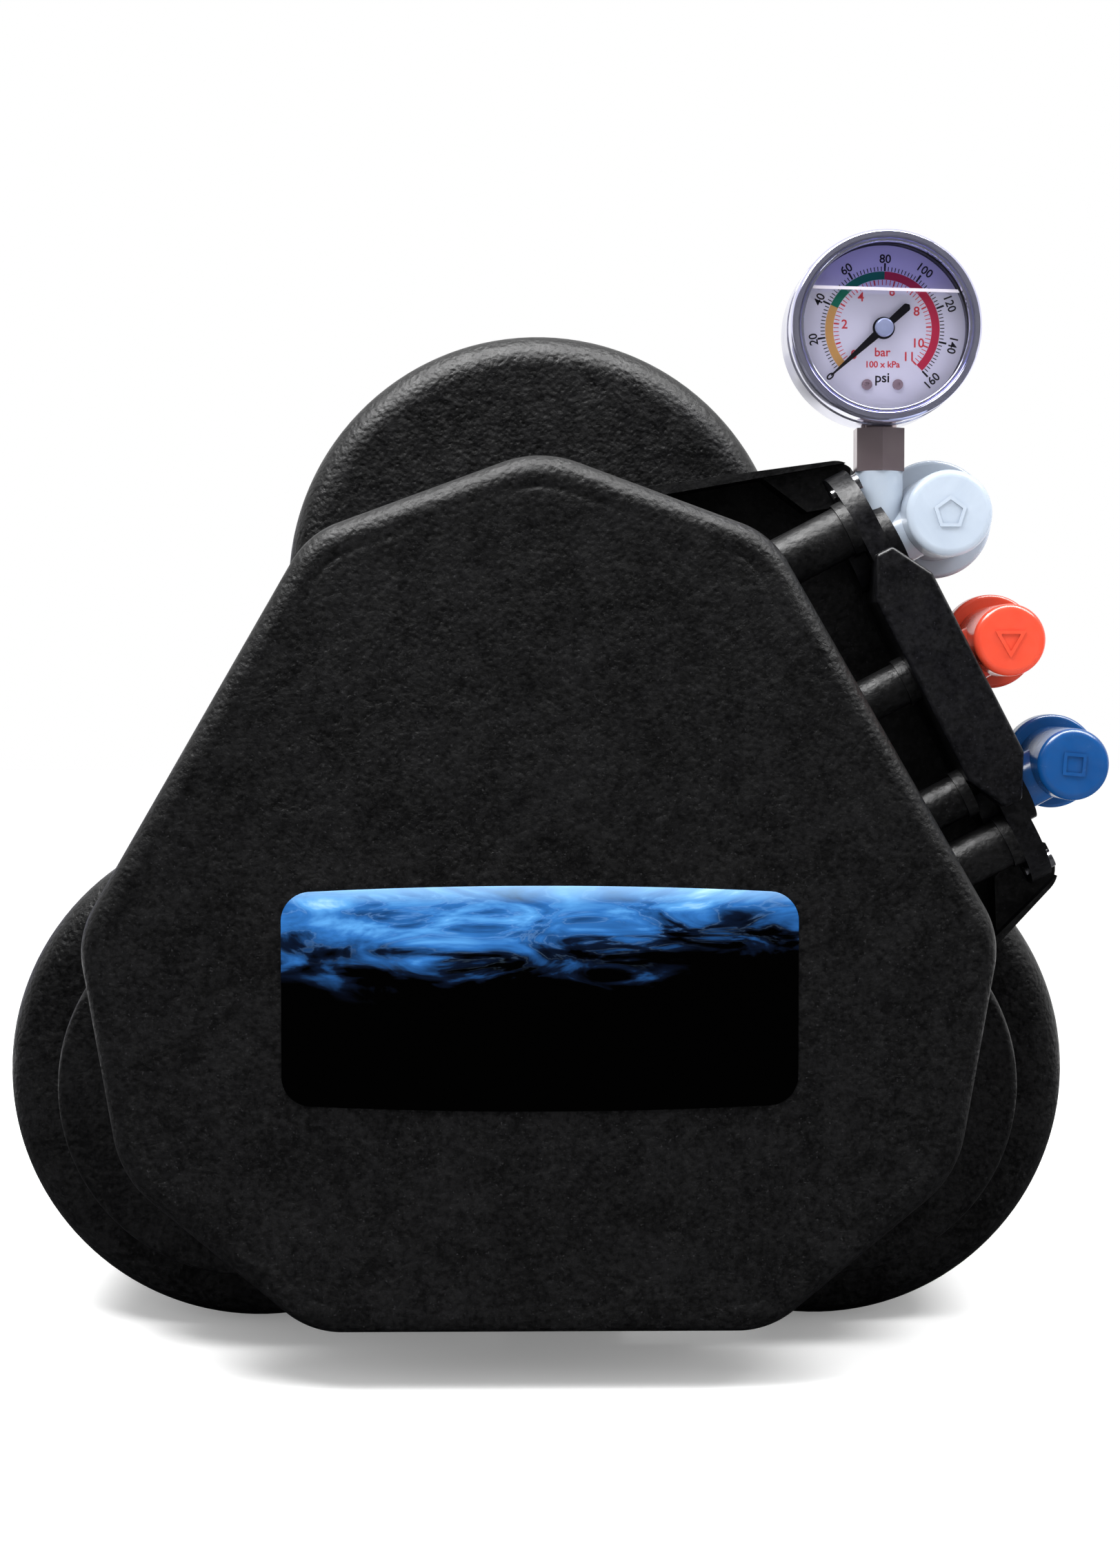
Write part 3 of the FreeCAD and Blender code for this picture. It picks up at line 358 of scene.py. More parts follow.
def label_art():
    """Printed film: a generic water surface above, black below, and a painted highlight along the top edge.
    """
    look = Finish("label_print")
    centre = middle("front_label") * MM
    half = half_size("front_label") * MM
    black = (0.0, 0.0, 0.0)
    x, _, z = look.axes()
    across = look.maths("DIVIDE", look.maths("SUBTRACT", x, centre.x), half.x)
    up = look.maths("DIVIDE", look.maths("SUBTRACT", z, centre.z), half.z)
    height = water_height(look, across, up)
    swell = look.noise(13.0, 4.0, 0.5, 1.0, look.stretched((1.0, 1.0, 4.4), (0, -0.06, 0)))
    flat_waves = look.stretched((1.0, 1.0, 3.6), (0, -0.12, 0), (3.1, 0, 0))
    ripple = look.maths("SUBTRACT", look.noise(25.0, 5.0, 0.5, 1.9, flat_waves), 0.5)
    tone = look.maths("ADD", look.span(height, 0.0, 1.0, -0.46, 0.20), look.maths("MULTIPLY", swell, 0.9))
    tone = look.maths("ADD", tone, look.maths("MULTIPLY", ripple, 1.15))
    water = look.ramp(tone, [
        (0.16, black), (0.28, (0.001, 0.004, 0.014)), (0.40, (0.006, 0.040, 0.130)),
        (0.56, (0.015, 0.090, 0.270)), (0.74, (0.060, 0.210, 0.450)), (0.94, (0.34, 0.54, 0.72)),
    ])
    crest = look.span(look.maths("ABSOLUTE", ripple), 0.0, 0.018, 1.0, 0.0)
    sparkle = look.maths("MULTIPLY", crest, look.span(height, 0.3, 0.7))
    colour = look.mix(look.maths("MULTIPLY", sparkle, 0.10), water, (0.30, 0.50, 0.74))
    # Paler towards the top edge: a painted highlight along the film's upper edge.
    colour = look.mix(look.span(up, 0.84, 1.0, 0.0, 0.45), colour, (0.34, 0.54, 0.72))
    colour = look.mix(look.span(height, 0.0, 0.22, 1.0, 0.0), colour, black)
    look.set(Base_Color=colour, Roughness=0.3, Specular_IOR_Level=0.06)
    look.set(Normal=look.bump(look.noise(300.0, 2.0), 0.00003, 0.3))
    return look.material


def glossy_plastic(name, colour, shade, rough, subsurface=0.05):
    """Smooth acetal moulding with faint flow marks and fine dust-like unevenness."""
    look = Finish(name)
    flow = look.noise(35.0, 4.0, 0.55, 1.0)
    look.set(Base_Color=look.mix(look.span(flow, 0.3, 0.7), colour, shade))
    look.set(Roughness=look.span(look.noise(240.0, 4.0, 0.6), 0.3, 0.7, rough - 0.05, rough + 0.06))
    look.set(Subsurface_Weight=subsurface, Subsurface_Scale=1.0, Subsurface_Radius=(0.004, 0.003, 0.002))
    look.set(Normal=look.bump(look.noise(90.0, 3.0), 0.0002, 0.2))
    return look.material


def polished_metal(name, colour, shade, rough, metallic=1.0):
    """Plated metal: faint wiping marks in the gloss."""
    look = Finish(name)
    marks = look.noise(60.0, 5.0, 0.6, 0.5)
    look.set(Base_Color=look.mix(look.span(marks, 0.35, 0.65), colour, shade), Metallic=metallic)
    look.set(Roughness=look.span(marks, 0.3, 0.7, rough, rough + 0.05))
    look.set(Normal=look.bump(look.noise(45.0, 2.0), 0.0002, 0.12))
    return look.material


def enamel(name, colour, shade, rough):
    """Flat printed or painted sheet."""
    look = Finish(name)
    look.set(Base_Color=look.mix(look.noise(30.0, 3.0), colour, shade))
    look.set(Roughness=look.span(look.noise(400.0, 2.0), 0.3, 0.7, rough, rough + 0.1))
    look.set(Normal=look.bump(look.noise(900.0, 2.0), 0.00002, 0.2))
    return look.material


def clear_film(name, tint, gloss, rough):
    """Clear layer: light passes with a tint, and the surface reflects."""
    sky = (0.85, 0.87, 1.0)
    look = Finish(name)
    through = look.tree.nodes.new("ShaderNodeBsdfTransparent")
    look.put(through.inputs["Color"], tint)
    shine = look.tree.nodes.new("ShaderNodeBsdfGlossy")
    shine.inputs["Roughness"].default_value = rough
    look.put(shine.inputs["Color"], sky)
    facing = look.tree.nodes.new("ShaderNodeFresnel")
    facing.inputs["IOR"].default_value = 1.45
    both = look.tree.nodes.new("ShaderNodeMixShader")
    look.put(both.inputs[0], look.maths("MULTIPLY", facing.outputs["Fac"], gloss))
    look.tree.links.new(through.outputs["BSDF"], both.inputs[1])
    look.tree.links.new(shine.outputs["BSDF"], both.inputs[2])
    look.tree.links.new(both.outputs["Shader"], look.output.inputs["Surface"])
    look.tree.nodes.remove(look.shader)
    return look.material


def rubber():
    """Dull black rubber with a little dust."""
    look = Finish("seal_rubber")
    dust = look.noise(500.0, 4.0, 0.6)
    clean = (0.006, 0.006, 0.006)
    dusty = (0.02, 0.02, 0.02)
    look.set(Base_Color=look.mix(look.span(dust, 0.4, 0.7), clean, dusty))
    look.set(Roughness=look.span(dust, 0.3, 0.7, 0.55, 0.8), Normal=look.bump(dust, 0.00008, 0.5))
    return look.material


# name, deep colour, pale colour, roughness, grain height, specular level, scratches
MOULDINGS = (
    ("cover_plastic", (0.0011, 0.0011, 0.0012), (0.0050, 0.0050, 0.0054), 0.40, 0.0004, 0.18, 0.6),
    ("canister_plastic", (0.0004, 0.0004, 0.0005), (0.0046, 0.0046, 0.0050), 0.37, 0.0004, 0.22),
    ("moulded_plastic", (0.0015, 0.0015, 0.0017), (0.006, 0.006, 0.0065), 0.4, 0.0002, 0.24),
    ("valve_plastic", (0.0012, 0.0012, 0.0018), (0.005, 0.005, 0.0065), 0.36, 0.00014, 0.28),
)
# name, colour, shaded colour, roughness, light spread under the surface
PLASTICS = (
    ("inner_plastic", (0.7, 0.7, 0.66), (0.62, 0.62, 0.58), 0.4),
    ("white_plastic", (0.36, 0.41, 0.48), (0.31, 0.36, 0.43), 0.2, 0.04),
    ("orange_plastic", (0.56, 0.060, 0.028), (0.50, 0.042, 0.020), 0.2, 0.03),
    ("blue_plastic", (0.004, 0.058, 0.20), (0.003, 0.042, 0.155), 0.22, 0.02),
)
# name, colour, shaded colour, roughness, metallic share
METALS = (
    ("screw_steel", (0.72, 0.72, 0.74), (0.55, 0.55, 0.58), 0.22),
    ("spring_steel", (0.6, 0.6, 0.6), (0.5, 0.5, 0.5), 0.25),
    ("gauge_steel", (0.58, 0.58, 0.70), (0.46, 0.46, 0.60), 0.12, 0.86),
    ("gauge_chrome", (0.66, 0.66, 0.84), (0.56, 0.56, 0.78), 0.06, 0.91),
    ("gauge_brass", (0.52, 0.43, 0.45), (0.42, 0.33, 0.36), 0.16, 0.82),
    ("inner_brass", (0.72, 0.52, 0.24), (0.6, 0.42, 0.18), 0.25),
)
# name, colour, second colour, roughness
PAINTS = (
    ("membrane_wrap", (0.75, 0.76, 0.74), (0.6, 0.62, 0.6), 0.5),
    ("carbon", (0.02, 0.02, 0.02), (0.04, 0.04, 0.04), 0.8),
    ("dial_enamel", (0.82, 0.80, 0.90), (0.88, 0.86, 0.95), 0.35),
    ("needle_black", (0.005, 0.005, 0.007), (0.012, 0.010, 0.012), 0.3),
)

finishes = {
    "label_print": label_art(),
    "seal_rubber": rubber(),
    "gauge_glass": clear_film("gauge_glass", (0.98, 0.98, 1.0), 0.6, 0.02),
}
MAKERS = {moulded_black: MOULDINGS, glossy_plastic: PLASTICS, polished_metal: METALS, enamel: PAINTS}
for maker, rows in MAKERS.items():
    for row in rows:
        finishes[row[0]] = maker(*row)

for subpart in frame["record"]["subparts"]:
    node = frame["nodes"][subpart["node"]]
    node.data.materials.clear()
    node.data.materials.append(finishes[subpart["material_slot"]])


# ---------------------------------------------------------------- front cover
APEX_REACH = 168.0
SHOULDER_REACH = 160.0
APEX_ROUND = 38.0
SHOULDER_ROUND = 31.0
COVER_WALL = 3.0
ARC_STEPS = 18
EDGE_STEPS = 12
cover_depth = depth_of("front_cover")[1]


def cover_outline(inset):
    """Points (x, z) round the cover's nine-sided outline, moved in by the inset."""
    corners = []
    for degrees in range(90, -270, -30):
        if degrees % 120 == 90:
            corners.append((APEX_REACH, math.radians(degrees), APEX_ROUND))
        elif degrees % 120 in (0, 60):
            corners.append((SHOULDER_REACH, math.radians(degrees), SHOULDER_ROUND))
    flat = [Vector((reach * math.cos(a), reach * math.sin(a))) for reach, a, _ in corners]
    moved = []
    for i, here in enumerate(flat):
        back = (flat[i - 1] - here).normalized()
        ahead = (flat[(i + 1) % len(flat)] - here).normalized()
        half = back.angle(ahead) / 2
        shifted = here + (back + ahead).normalized() * (inset / math.sin(half))
        moved.append((shifted.x, shifted.y, corners[i][2] - inset))
    return joined_arcs(rounded(moved, ARC_STEPS), ARC_STEPS, EDGE_STEPS)


def corner_share(index):
    """1 in the middle of a corner's arc, falling to 0 along the straight edges."""
    fade_length = ARC_STEPS * 0.85
    gap = abs(index % (ARC_STEPS + EDGE_STEPS) - ARC_STEPS / 2)
    return max(0.0, 1.0 - (gap / fade_length) ** 2)


def cover_rings(inset_depths):
    """Turns of the shell, each at one inset and depth."""
    return [[(p.x, depth, p.y + unit_z) for p in cover_outline(inset)] for inset, depth in inset_depths]


def cover_side():
    """Insets and depths from the shell's open rear edge to the face, round the front edge."""
    edge_round = 7.5
    lip = 0.8
    side_steps = 5
    edge_arc_steps = 10
    lip_front = cover_depth - lip
    path = [(COVER_WALL, cover_depth), (COVER_WALL - 2.2, cover_depth), (0.0, lip_front)]
    for k in range(1, side_steps):
        path.append((0.0, lip_front - k * (lip_front - edge_round) / side_steps))
    for k in range(edge_arc_steps + 1):
        angle = math.radians(90 * k / edge_arc_steps)
        path.append((edge_round * (1 - math.cos(angle)), edge_round * (1 - math.sin(angle))))
    return path


def cover_contour():
    """The faint second contour just inside the face's corners."""
    depth = 0.12
    groove = 0.42
    shares = [(8.6, 0.06), (9.6, 0.1), (10.3, 0.5), (11.0, 1.0), (11.7, 0.5), (12.4, 0.1), (13.6, 0.0)]
    rings = []
    for inset, share in shares:
        rings.append([(p.x, depth + groove * share * corner_share(i), p.y + unit_z)
                      for i, p in enumerate(cover_outline(inset))])
    return rings


def cover_face(border):
    """Gently uneven face, in shrinking turns of the border."""
    turns = 15
    crowding = 0.9
    depth = 0.22
    unevenness = 0.13
    rings = []
    for k in range(turns):
        scale = 1 - (k / turns) ** crowding
        ring = []
        for p in border:
            x = p.x * scale
            z = p.y * scale
            wide = noise.noise(Vector((x / 70, z / 70, 3.1)))
            small = noise.noise(Vector((x / 22, z / 22, 7.7)))
            ring.append((x, depth + unevenness * (wide + 0.4 * small), z + unit_z))
        rings.append(ring)
    return rings


def make_cover():
    """Hollow shell: rounded front edge, a faint second contour at the corners, gently uneven face."""
    border = cover_outline(16.0)
    rings = cover_rings(cover_side()) + cover_contour() + cover_face(border)
    rings.reverse()
    rings += cover_rings([(COVER_WALL, 9.0), (COVER_WALL + 4, 3.6), (12.0, COVER_WALL), (24.0, COVER_WALL)])
    rings.append([(p.x * 0.02, COVER_WALL, p.y * 0.02 + unit_z) for p in border])
    return loft("cover_shell", rings)


dress(make_cover(), "cover_plastic", replaces=["front_cover"])


# ---------------------------------------------------------------- label
def make_label():
    """Film with bowed long edges and round corners, and a hair-thin rolled edge."""
    centre = middle("front_label")
    half = half_size("front_label")
    thickness = 2 * half.y
    bulge = 2.5
    corner = 9.5
    corner_steps = 10
    side_steps = 48
    straight = half.z - bulge
    corners = [(-half.x, -straight, corner), (half.x, -straight, corner),
               (half.x, straight, corner), (-half.x, straight, corner)]
    border = joined_arcs(rounded(corners, corner_steps), corner_steps, side_steps)
    rings = []
    for shrink, share in ((0.0, 1.0), (0.0, 0.3), (0.12, 0.08), (0.35, 0.0), (3.0, 0.0)):
        ring = []
        for point in border:
            x = point.x * (1 - shrink / half.x)
            z = point.y * (1 - shrink / half.z)
            bow = bulge * (1 - (x / half.x) ** 2) * (z / straight)
            ring.append((centre.x + x, (share - 1) * thickness, centre.z + z + bow))
        rings.append(ring)
    return loft("label_film", rings)


dress(make_label(), "label_print", replaces=["front_label"])


# ---------------------------------------------------------------- canister sumps
NECK_RADIUS = 90.2
GRIP_COUNT = 20
GRIP_DEPTH = 1.6
drum_radius = half_size("canister_sump_top").x
neck_front, sump_rear = depth_of("canister_sump_top")
sump_shoulder = depth_of("canister_head_top")[1] + 0.8


def grip_wave(radius, depth, angle):
    """Shallow hand grips round the side of a sump, fading out towards both ends."""
    plain_front = 14
    plain_rear = 30
    along = depth - sump_shoulder - plain_front
    if radius < drum_radius - 1 or along < 0:
        return 0.0
    share = along / (sump_rear - plain_rear - sump_shoulder - plain_front)
    fade = max(0.0, 1 - (2 * share - 1) ** 2)
    dip = max(0.0, math.cos(GRIP_COUNT * angle)) ** 2
    return -GRIP_DEPTH * dip * min(1.0, fade * 2.5)


def make_sump(place):
    """Cup with a grooved side, a stepped end and the plain neck that enters the head."""
    bore = drum_radius - 5.0
    floor = sump_rear - 5.0
    neck_bore = NECK_RADIUS - 4.2
    seal_groove = NECK_RADIUS - 2.4
    groove_front = 119.0
    groove_rear = 122.4
    spigot_front = 228.0
    spigot_radius = 17.0
    spigot_bore = 12.4
    end_round = 26.0
    step_floor = sump_rear - 2.0
    rows = 24
    side_rear = sump_rear - end_round - 1
    side_front = sump_shoulder + 4
    side = [(drum_radius, side_rear - k * (side_rear - side_front) / rows) for k in range(rows + 1)]
    end = [(0.01, step_floor), (38, step_floor, 1.0), (40, sump_rear, 1.0),
           (drum_radius, sump_rear, end_round)]
    neck = [(drum_radius, sump_shoulder, 1.2), (NECK_RADIUS, sump_shoulder),
            (NECK_RADIUS, groove_rear, 0.3), (seal_groove, groove_rear), (seal_groove, groove_front),
            (NECK_RADIUS, groove_front), (NECK_RADIUS, neck_front, 0.8), (neck_bore, neck_front, 0.8)]
    inside = [(neck_bore, 150.0), (bore, 156.0), (bore, floor, end_round - 5.0),
              (spigot_radius, floor), (spigot_radius, spigot_front),
              (spigot_bore, spigot_front), (spigot_bore, floor), (0.01, floor)]
    profile = end + side + neck + inside
    return lathe("sump_shell_" + place, profile, drum_centres[place], 240, 8, grip_wave)


for drum in DRUMS:
    dress(make_sump(drum), "canister_plastic", "sump_" + drum, ["canister_sump_" + drum])


# ---------------------------------------------------------------- pressure gauge
WINDOW_RADIUS = 29.8
LIQUID_LEVEL = 13.4
ZERO_TURN = 222.0
SWEEP = 268.0
PRINT_LIFT = 0.06
dial_front = depth_of("gauge_dial")[0]
lens_front, lens_rear = depth_of("gauge_lens")
bezel_front, bezel_rear = depth_of("gauge_bezel")
bezel_radius = half_size("gauge_bezel").x
lens_radius = half_size("gauge_lens").x


def make_bezel():
    """Rolled ring: round outer bead, hollow channel, thin inner bead."""
    gap = 0.05
    seat = lens_front - gap
    seat_radius = lens_radius + gap
    profile = [
        (bezel_radius, bezel_rear, 0.5), (bezel_radius, bezel_front, 2.6), (32.9, bezel_front, 0.9),
        (31.4, bezel_front + 1.7, 0.6), (30.7, bezel_front + 0.8, 0.4),
        (WINDOW_RADIUS, bezel_front + 0.9, 0.4), (WINDOW_RADIUS, seat), (seat_radius, seat),
        (seat_radius, bezel_rear),
    ]
    return lathe("bezel_ring", profile, gauge, 160, 8)


def make_window_gasket():
    """Black ring between the window and the dial."""
    outer = 31.2
    front = lens_rear + 0.05
    rear = dial_front - 0.1
    profile = [(WINDOW_RADIUS, front, 0.3), (outer, front), (outer, rear), (WINDOW_RADIUS + 0.3, rear, 0.3)]
    return lathe("window_gasket", profile, gauge)


def make_needle_cap():
    """Polished cap over the pointer's hub."""
    hub = depth_of("gauge_needle")[0]
    radius = 3.4
    rear = hub + 0.4
    profile = [(0.01, hub - 1.3), (1.3, hub - 1.3, 0.2), (radius, hub - 0.9, 1.0), (radius, rear, 0.2),
               (0.01, rear)]
    return lathe("needle_cap", profile, gauge, 64)


def segment(name, radius, low, high, front, rear, tilt):
    """Slice of a disc between two heights above the gauge's centre; tilt drops its right end."""
    steps = 40
    rings = []
    for depth in (front, rear):
        ring = []
        for height, direction in ((low, 1), (high, -1)):
            reach = math.sqrt(max(radius ** 2 - height ** 2, 0.01))
            for k in range(steps + 1):
                x = direction * reach * (2 * k / steps - 1)
                ring.append((gauge.x + x, depth, gauge.z + height - tilt * x / radius))
        rings.append(ring)
    return loft(name, rings)


def cap_piece(name, radius, level, upper, front, rear, tilt):
    """The part of a disc above or below a level line; tilt drops its right end."""
    start = math.degrees(math.asin(level / radius))
    span = 180 - 2 * start if upper else -(180 + 2 * start)
    steps = 64
    rings = []
    for depth in (front, rear):
        ring = []
        for k in range(steps + 1):
            angle = math.radians(start + span * k / steps)
            x = radius * math.cos(angle)
            ring.append((gauge.x + x, depth, gauge.z + radius * math.sin(angle) - tilt * x / radius))
        rings.append(ring)
    return loft(name, rings)


def marks(name, look, bars):
    """Raised print on the dial; bars are (inner radius, outer radius, start angle, end angle)."""
    points = []
    faces = []
    for inner, outer, start, end in bars:
        steps = max(1, round(abs(end - start) / 3))
        base = len(points)
        for k in range(steps + 1):
            angle = math.radians(start + (end - start) * k / steps)
            for radius in (inner, outer):
                for depth in (dial_front - PRINT_LIFT, dial_front):
                    x = gauge.x + radius * math.cos(angle)
                    points.append((x, depth, gauge.z + radius * math.sin(angle)))
        for k in range(steps):
            a = base + 4 * k
            b = a + 4
            faces += [(a, a + 2, b + 2, b), (a + 1, b + 1, b + 3, a + 3), (a, b, b + 1, a + 1),
                      (a + 2, a + 3, b + 3, b + 2)]
        last = base + 4 * steps
        faces += [(base, base + 1, base + 3, base + 2), (last, last + 2, last + 3, last + 1)]
    dress(make_object(name, points, faces), "dial_enamel", look=look)


def lettering(name, look, words):
    """Raised numbers and units; words are (text, size, x, z, turn in degrees)."""
    joined = bmesh.new()
    upright = Matrix.Rotation(math.radians(90), 4, "X")
    depth = dial_front + front_y - PRINT_LIFT / 2
    for text, size, x, z, turn in words:
        curve = bpy.data.curves.new(name, "FONT")
        curve.body = text
        curve.size = size * MM
        curve.align_x = "CENTER"
        curve.align_y = "CENTER"
        curve.extrude = PRINT_LIFT / 2 * MM
        curve.resolution_u = 4
        curve.offset = 0.07 * MM
        holder = bpy.data.objects.new(name, curve)
        mesh = bpy.data.meshes.new_from_object(holder)
        place = Vector((gauge.x + x, depth, gauge.z + z)) * MM
        turned = Matrix.Rotation(-math.radians(turn), 4, "Y")
        mesh.transform(Matrix.Translation(place) @ turned @ upright)
        joined.from_mesh(mesh)
        bpy.data.objects.remove(holder)
        bpy.data.curves.remove(curve)
        bpy.data.meshes.remove(mesh)
    mesh = bpy.data.meshes.new(name)
    joined.to_mesh(mesh)
    joined.free()
    dress(place_mesh(name, mesh), "dial_enamel", look=look)


def on_scale(share):
    """Angle of a reading, as a share of the full scale."""
    return ZERO_TURN - SWEEP * share


def ticks(count, every, inner, long, short, width):
    """Short bars along the scale, with a longer and wider one at every few."""
    bars = []
    for k in range(count + 1):
        angle = on_scale(k / count)
        major = k % every == 0
        half = width * (1.6 if major else 0.8)
        bars.append((inner, long if major else short, angle - half, angle + half))
    return bars


def pressure_numbers():
    """Black numbers outside the scale, upright along it except for the last, which reads outwards."""
    last = 8
    words = []
    for k in range(last + 1):
        angle = on_scale(k / last)
        turn = angle + 90 if k == last else angle - 90
        reach = 26.0 if k >= 5 else 25.2
        x = reach * math.cos(math.radians(angle))
        z = reach * math.sin(math.radians(angle))
        words.append((str(20 * k), 4.3, x, z, turn))
    return words + [("psi", 5.0, 0.0, -17.6, 0)]


def inner_numbers():
    """Red numbers inside the scale, all upright."""
    reach = 13.9
    full_scale = 11
    words = []
    for bar in (0, 2, 4, 6, 8, 10, full_scale):
        angle = math.radians(on_scale(bar / full_scale))
        words.append((str(bar), 4.6, reach * math.cos(angle), reach * math.sin(angle), 0))
    return words + [("bar", 4.4, 0.0, -8.4, 0), ("100 x kPa", 3.2, 0.0, -12.8, 0)]


def make_dial_print():
    """Coloured bands, ticks, numbers and units."""
    ink = enamel("ink_black", (0.010, 0.008, 0.014), (0.02, 0.016, 0.024), 0.4)
    red = enamel("ink_red", (0.80, 0.045, 0.060), (0.72, 0.035, 0.05), 0.4)
    band = (17.9, 20.8)
    bands = [("yellow", (0.80, 0.42, 0.12), 0.0, 0.25), ("green", (0.0, 0.23, 0.13), 0.25, 0.5),
             ("crimson", (0.66, 0.018, 0.07), 0.5, 1.0)]
    for name, colour, start, end in bands:
        look = enamel("ink_" + name, colour, [channel * 0.92 for channel in colour], 0.4)
        marks("dial_band_" + name, look, [(*band, on_scale(start), on_scale(end))])
    marks("dial_ticks_black", ink, ticks(80, 10, 20.95, 23.8, 22.5, 0.55))
    marks("dial_ticks_red", red, ticks(55, 5, 15.9, 17.8, 17.8, 0.6))
    lettering("dial_numbers_black", ink, pressure_numbers())
    lettering("dial_numbers_red", red, inner_numbers())


def make_liquid():
    """Clear filling up to its level; a pale strip at its surface line, a painted highlight; and above it a
    violet tinted layer, painted reflection and painted shade.
    """
    front = lens_rear + 0.06
    rear = dial_front - 0.15
    radius = WINDOW_RADIUS - 0.15
    slope = 0.8
    fill_top = LIQUID_LEVEL - 0.6
    painted_reflection_base = LIQUID_LEVEL + 0.7
    body = clear_film("liquid_clear", (0.98, 0.98, 1.0), 0.2, 0.05)
    # Violet tint for the space above the liquid: painted reflection and painted shade.
    tint = clear_film("painted_reflection_violet", (0.79, 0.78, 0.93), 0.4, 0.08)
    # Pale opaque colour for the liquid's surface line: a painted highlight.
    edge = enamel("liquid_line_painted_highlight", (0.92, 0.86, 0.90), (0.95, 0.90, 0.94), 0.2)
    fill = cap_piece("liquid_fill", radius, fill_top, False, front, rear, slope)
    dress(fill, "gauge_glass", look=body)
    # Tinted layer above the level line: painted reflection and painted shade.
    painted_reflection_layer = cap_piece("painted_reflection_above_liquid", radius, painted_reflection_base, True, front, front + 0.3, slope)
    dress(painted_reflection_layer, "gauge_glass", look=tint)
    # Thin strip at the level line: a painted highlight of the liquid's bright surface.
    surface = segment("liquid_surface_painted_highlight", radius, fill_top + 0.1, painted_reflection_base - 0.1, front, front + 0.4, slope)
    dress(surface, "gauge_glass", look=edge)


def dress_gauge():
    """Bezel, gasket and pointer cap, and the dial screws' own tint."""
    cap = polished_metal("cap_chrome", (0.50, 0.56, 0.78), (0.42, 0.48, 0.70), 0.2, 0.4)
    screws = polished_metal("dial_screw_steel", (0.52, 0.38, 0.43), (0.42, 0.29, 0.34), 0.25, 0.5)
    dress(make_bezel(), "gauge_chrome", replaces=["gauge_bezel"])
    dress(make_window_gasket(), "seal_rubber")
    dress(make_needle_cap(), "gauge_chrome", "needle", look=cap)
    frame["nodes"]["dial_screws"].data.materials[0] = screws


dress_gauge()
make_dial_print()
make_liquid()


# ---------------------------------------------------------------- check valve's spring
def make_spring():
    """Coil of round wire along the depth, in the CAD spring's place."""
    wire = 0.45
    pitch = 2.4
    turn_steps = 24
    sides = 8
    centre = middle("check_spring")
    coil = half_size("check_spring").x - wire
    front, rear = depth_of("check_spring")
    length = rear - front - 2 * wire
    count = round(length / pitch * turn_steps)
    rings = []
    for step in range(count + 1):
        turn = 2 * math.pi * step / turn_steps
        depth = front + wire + length * step / count
        ring = []
        for side in range(sides):
            angle = 2 * math.pi * side / sides
            reach = coil + wire * math.cos(angle)
            ring.append((centre.x + reach * math.cos(turn), depth + wire * math.sin(angle),
                         centre.z + reach * math.sin(turn)))
        rings.append(ring)
    return loft("check_spring_coil", rings)


def fit_spring():
    """The coil, dressed as spring steel in the CAD spring's place, with a mesh of its own."""
    spring = dress(make_spring(), "spring_steel", replaces=["check_spring"])
    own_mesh(spring)


fit_spring()


# ---------------------------------------------------------------- camera, lights, floor
def make_camera():
    """The photograph's view: a little above the unit's middle, 0.88 m from the cover."""
    place = Vector((-0.0074, -0.9965, 0.2481))
    aim = Vector((0.0068, -0.1205, 0.2122))
    data = bpy.data.cameras.new("camera")
    data.lens = 58.7
    data.sensor_width = 36.0
    data.clip_start = 0.01
    camera = bpy.data.objects.new("camera", data)
    bpy.context.scene.collection.objects.link(camera)
    camera.location = place
    camera.rotation_mode = "QUATERNION"
    camera.rotation_quaternion = (aim - place).to_track_quat("-Z", "Y")
    bpy.context.scene.camera = camera


def area_light(name, place, aim, size, power, glossy=True, diffuse=True):
    """Soft rectangular lamp, never seen itself."""
    data = bpy.data.lights.new(name, "AREA")
    data.shape = "RECTANGLE"
    data.size, data.size_y = size
    data.energy = power
    light = bpy.data.objects.new(name, data)
    bpy.context.scene.collection.objects.link(light)
    light.location = place
    light.rotation_mode = "QUATERNION"
    light.rotation_quaternion = (Vector(aim) - Vector(place)).to_track_quat("-Z", "Y")
    light.visible_glossy = glossy
    light.visible_diffuse = diffuse
    light.visible_camera = False


def plain(name, colour, strength=0.0):
    """Almost even colour for the stage, with its own light if the strength isn't 0."""
    look = Finish(name)
    shade = look.mix(look.noise(3.0, 2.0), colour, [channel * 0.985 for channel in colour])
    look.set(Base_Color=shade, Roughness=0.9)
    if strength:
        look.set(Emission_Color=colour, Emission_Strength=strength)
    return look.material


def sheet_of(name, corners, material):
    """Flat piece of the stage."""
    mesh = bpy.data.meshes.new(name)
    mesh.from_pydata(corners, [], [tuple(range(len(corners)))])
    mesh.materials.append(material)
    sheet = place_mesh(name, mesh)
    return sheet


def dark_flag(name, corners, colour=(0.006, 0.006, 0.009)):
    """Dark cloth seen only in reflections; it keeps the black mouldings deep."""
    flag = sheet_of(name, corners, plain(name + "_cloth", colour))
    flag.visible_camera = False
    flag.visible_diffuse = False
    flag.visible_shadow = False
    flag.visible_transmission = False


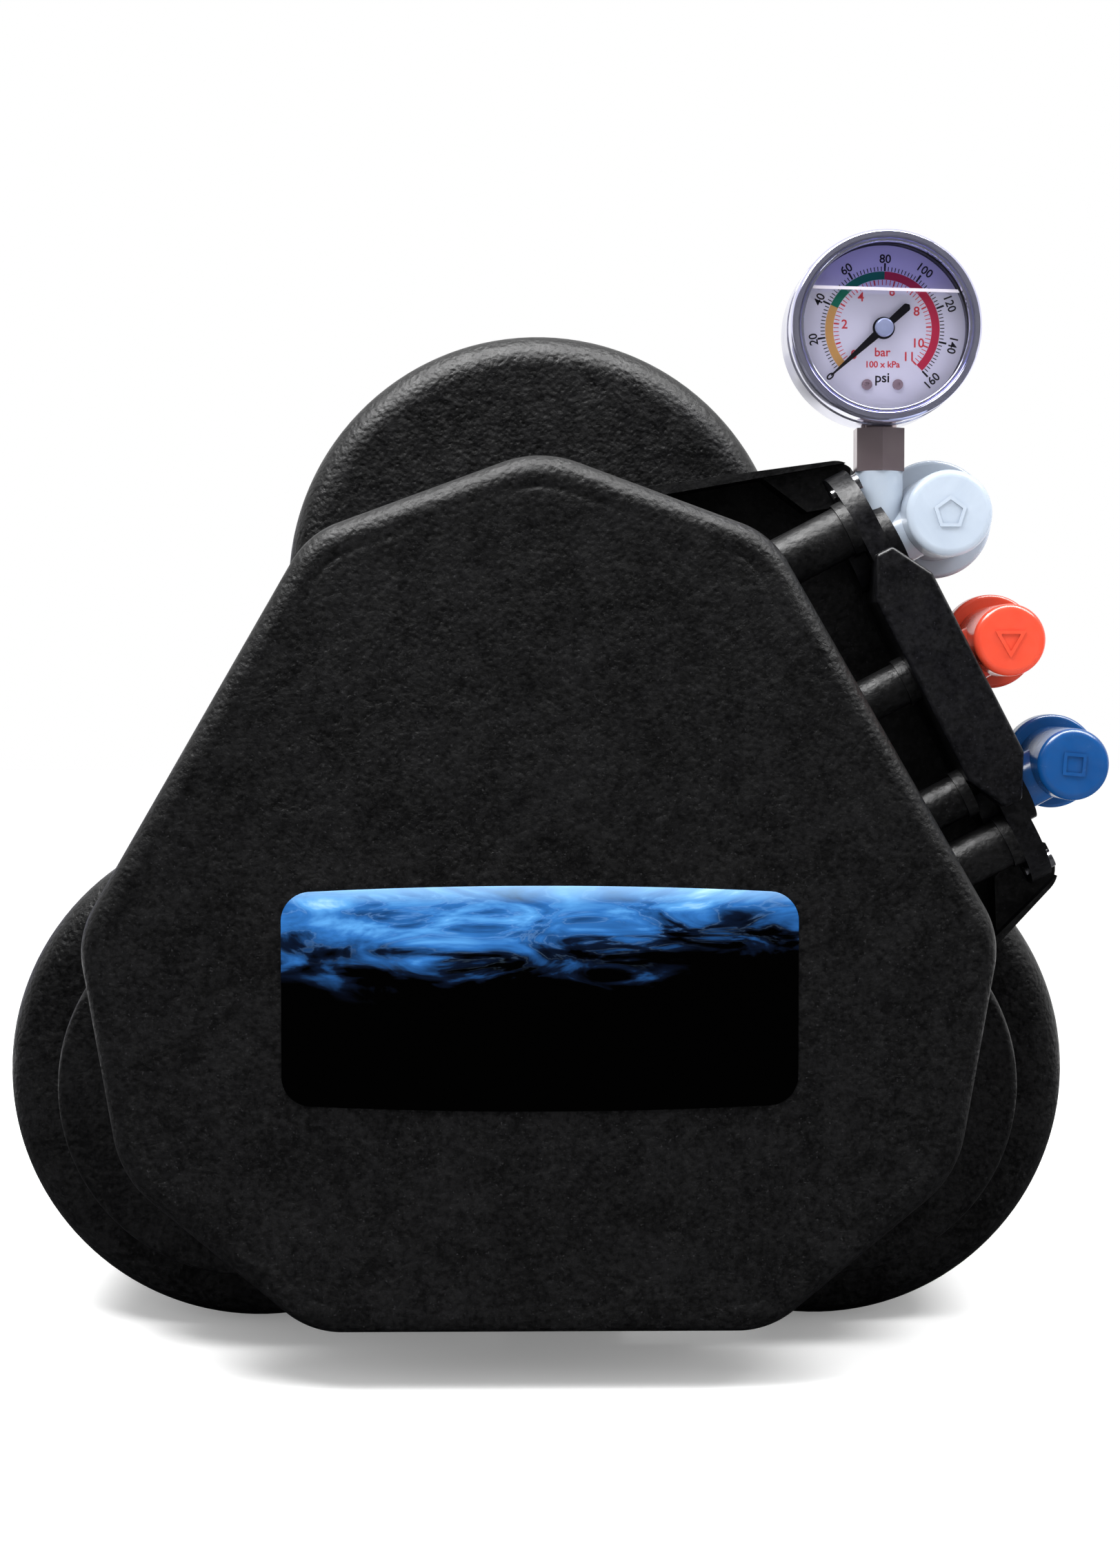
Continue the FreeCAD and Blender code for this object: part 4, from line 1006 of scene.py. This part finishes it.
def make_world():
    """White surroundings."""
    world = bpy.data.worlds.new("studio")
    bpy.context.scene.world = world
    world.use_nodes = True
    background = world.node_tree.nodes["Background"]
    background.inputs["Color"].default_value = (1.0, 1.0, 1.0, 1.0)
    background.inputs["Strength"].default_value = 1.0


def make_floor():
    """Large pale floor with a little light of its own."""
    side = 6
    corners = [(-side, -side, 0), (side, -side, 0), (side, side, 0), (-side, side, 0)]
    sheet_of("floor", corners, plain("pale_floor", (0.9, 0.9, 0.9), 0.22))


def make_flags():
    """Dark cloths in front, on both sides, behind and on the floor."""
    side = 2.6
    front = -2.0
    low = -0.2
    top = 2.8
    floor_lift = 0.001
    dark_flag("front_flag", [(-side, front, low), (side, front, low),
                             (side, front, top), (-side, front, top)])
    dark_flag("left_flag", [(-side, front, low), (-side, 0.4, low), (-side, 0.4, 1.6), (-side, front, top)])
    dark_flag("right_flag", [(side, front, low), (side, 0.0, low), (side, 0.0, 0.9), (side, front, top)])
    dark_flag("back_flag", [(-2.0, 1.6, -0.1), (-0.3, 2.2, -0.1), (-0.3, 2.2, 0.5), (-2.0, 1.6, 0.5)],
              (0.25, 0.25, 0.36))
    dark_flag("floor_flag", [(-side, front, floor_lift), (side, front, floor_lift),
                             (side, 0.5, floor_lift), (-side, 0.5, floor_lift)])


def make_lights():
    """Broad light from above and the left, a smaller one on the valve side, and a reflected rim."""
    area_light("key", (-0.5, -0.45, 1.25), (0, 0, 0.2), (0.9, 0.5), 24.0)
    area_light("side_key", (0.8, -0.3, 1.1), (0, 0, 0.2), (0.5, 0.5), 12.0)
    area_light("rim_light", (0.0, -0.25, 1.5), (0, -0.05, 0.2), (1.6, 0.5), 60.0, diffuse=False)
    area_light("front_fill", (0.0, -1.8, 0.9), (0.1, 0, 0.25), (1.6, 1.0), 3.0, glossy=False)


make_camera()
make_world()
make_floor()
make_flags()
make_lights()
bpy.context.scene.view_settings.view_transform = "Standard"

for name, width in (("side_panel", 0.8), ("valve_housing", 1.0), ("valve_cover", 0.8)):
    soft_edges(frame["nodes"][name], width)
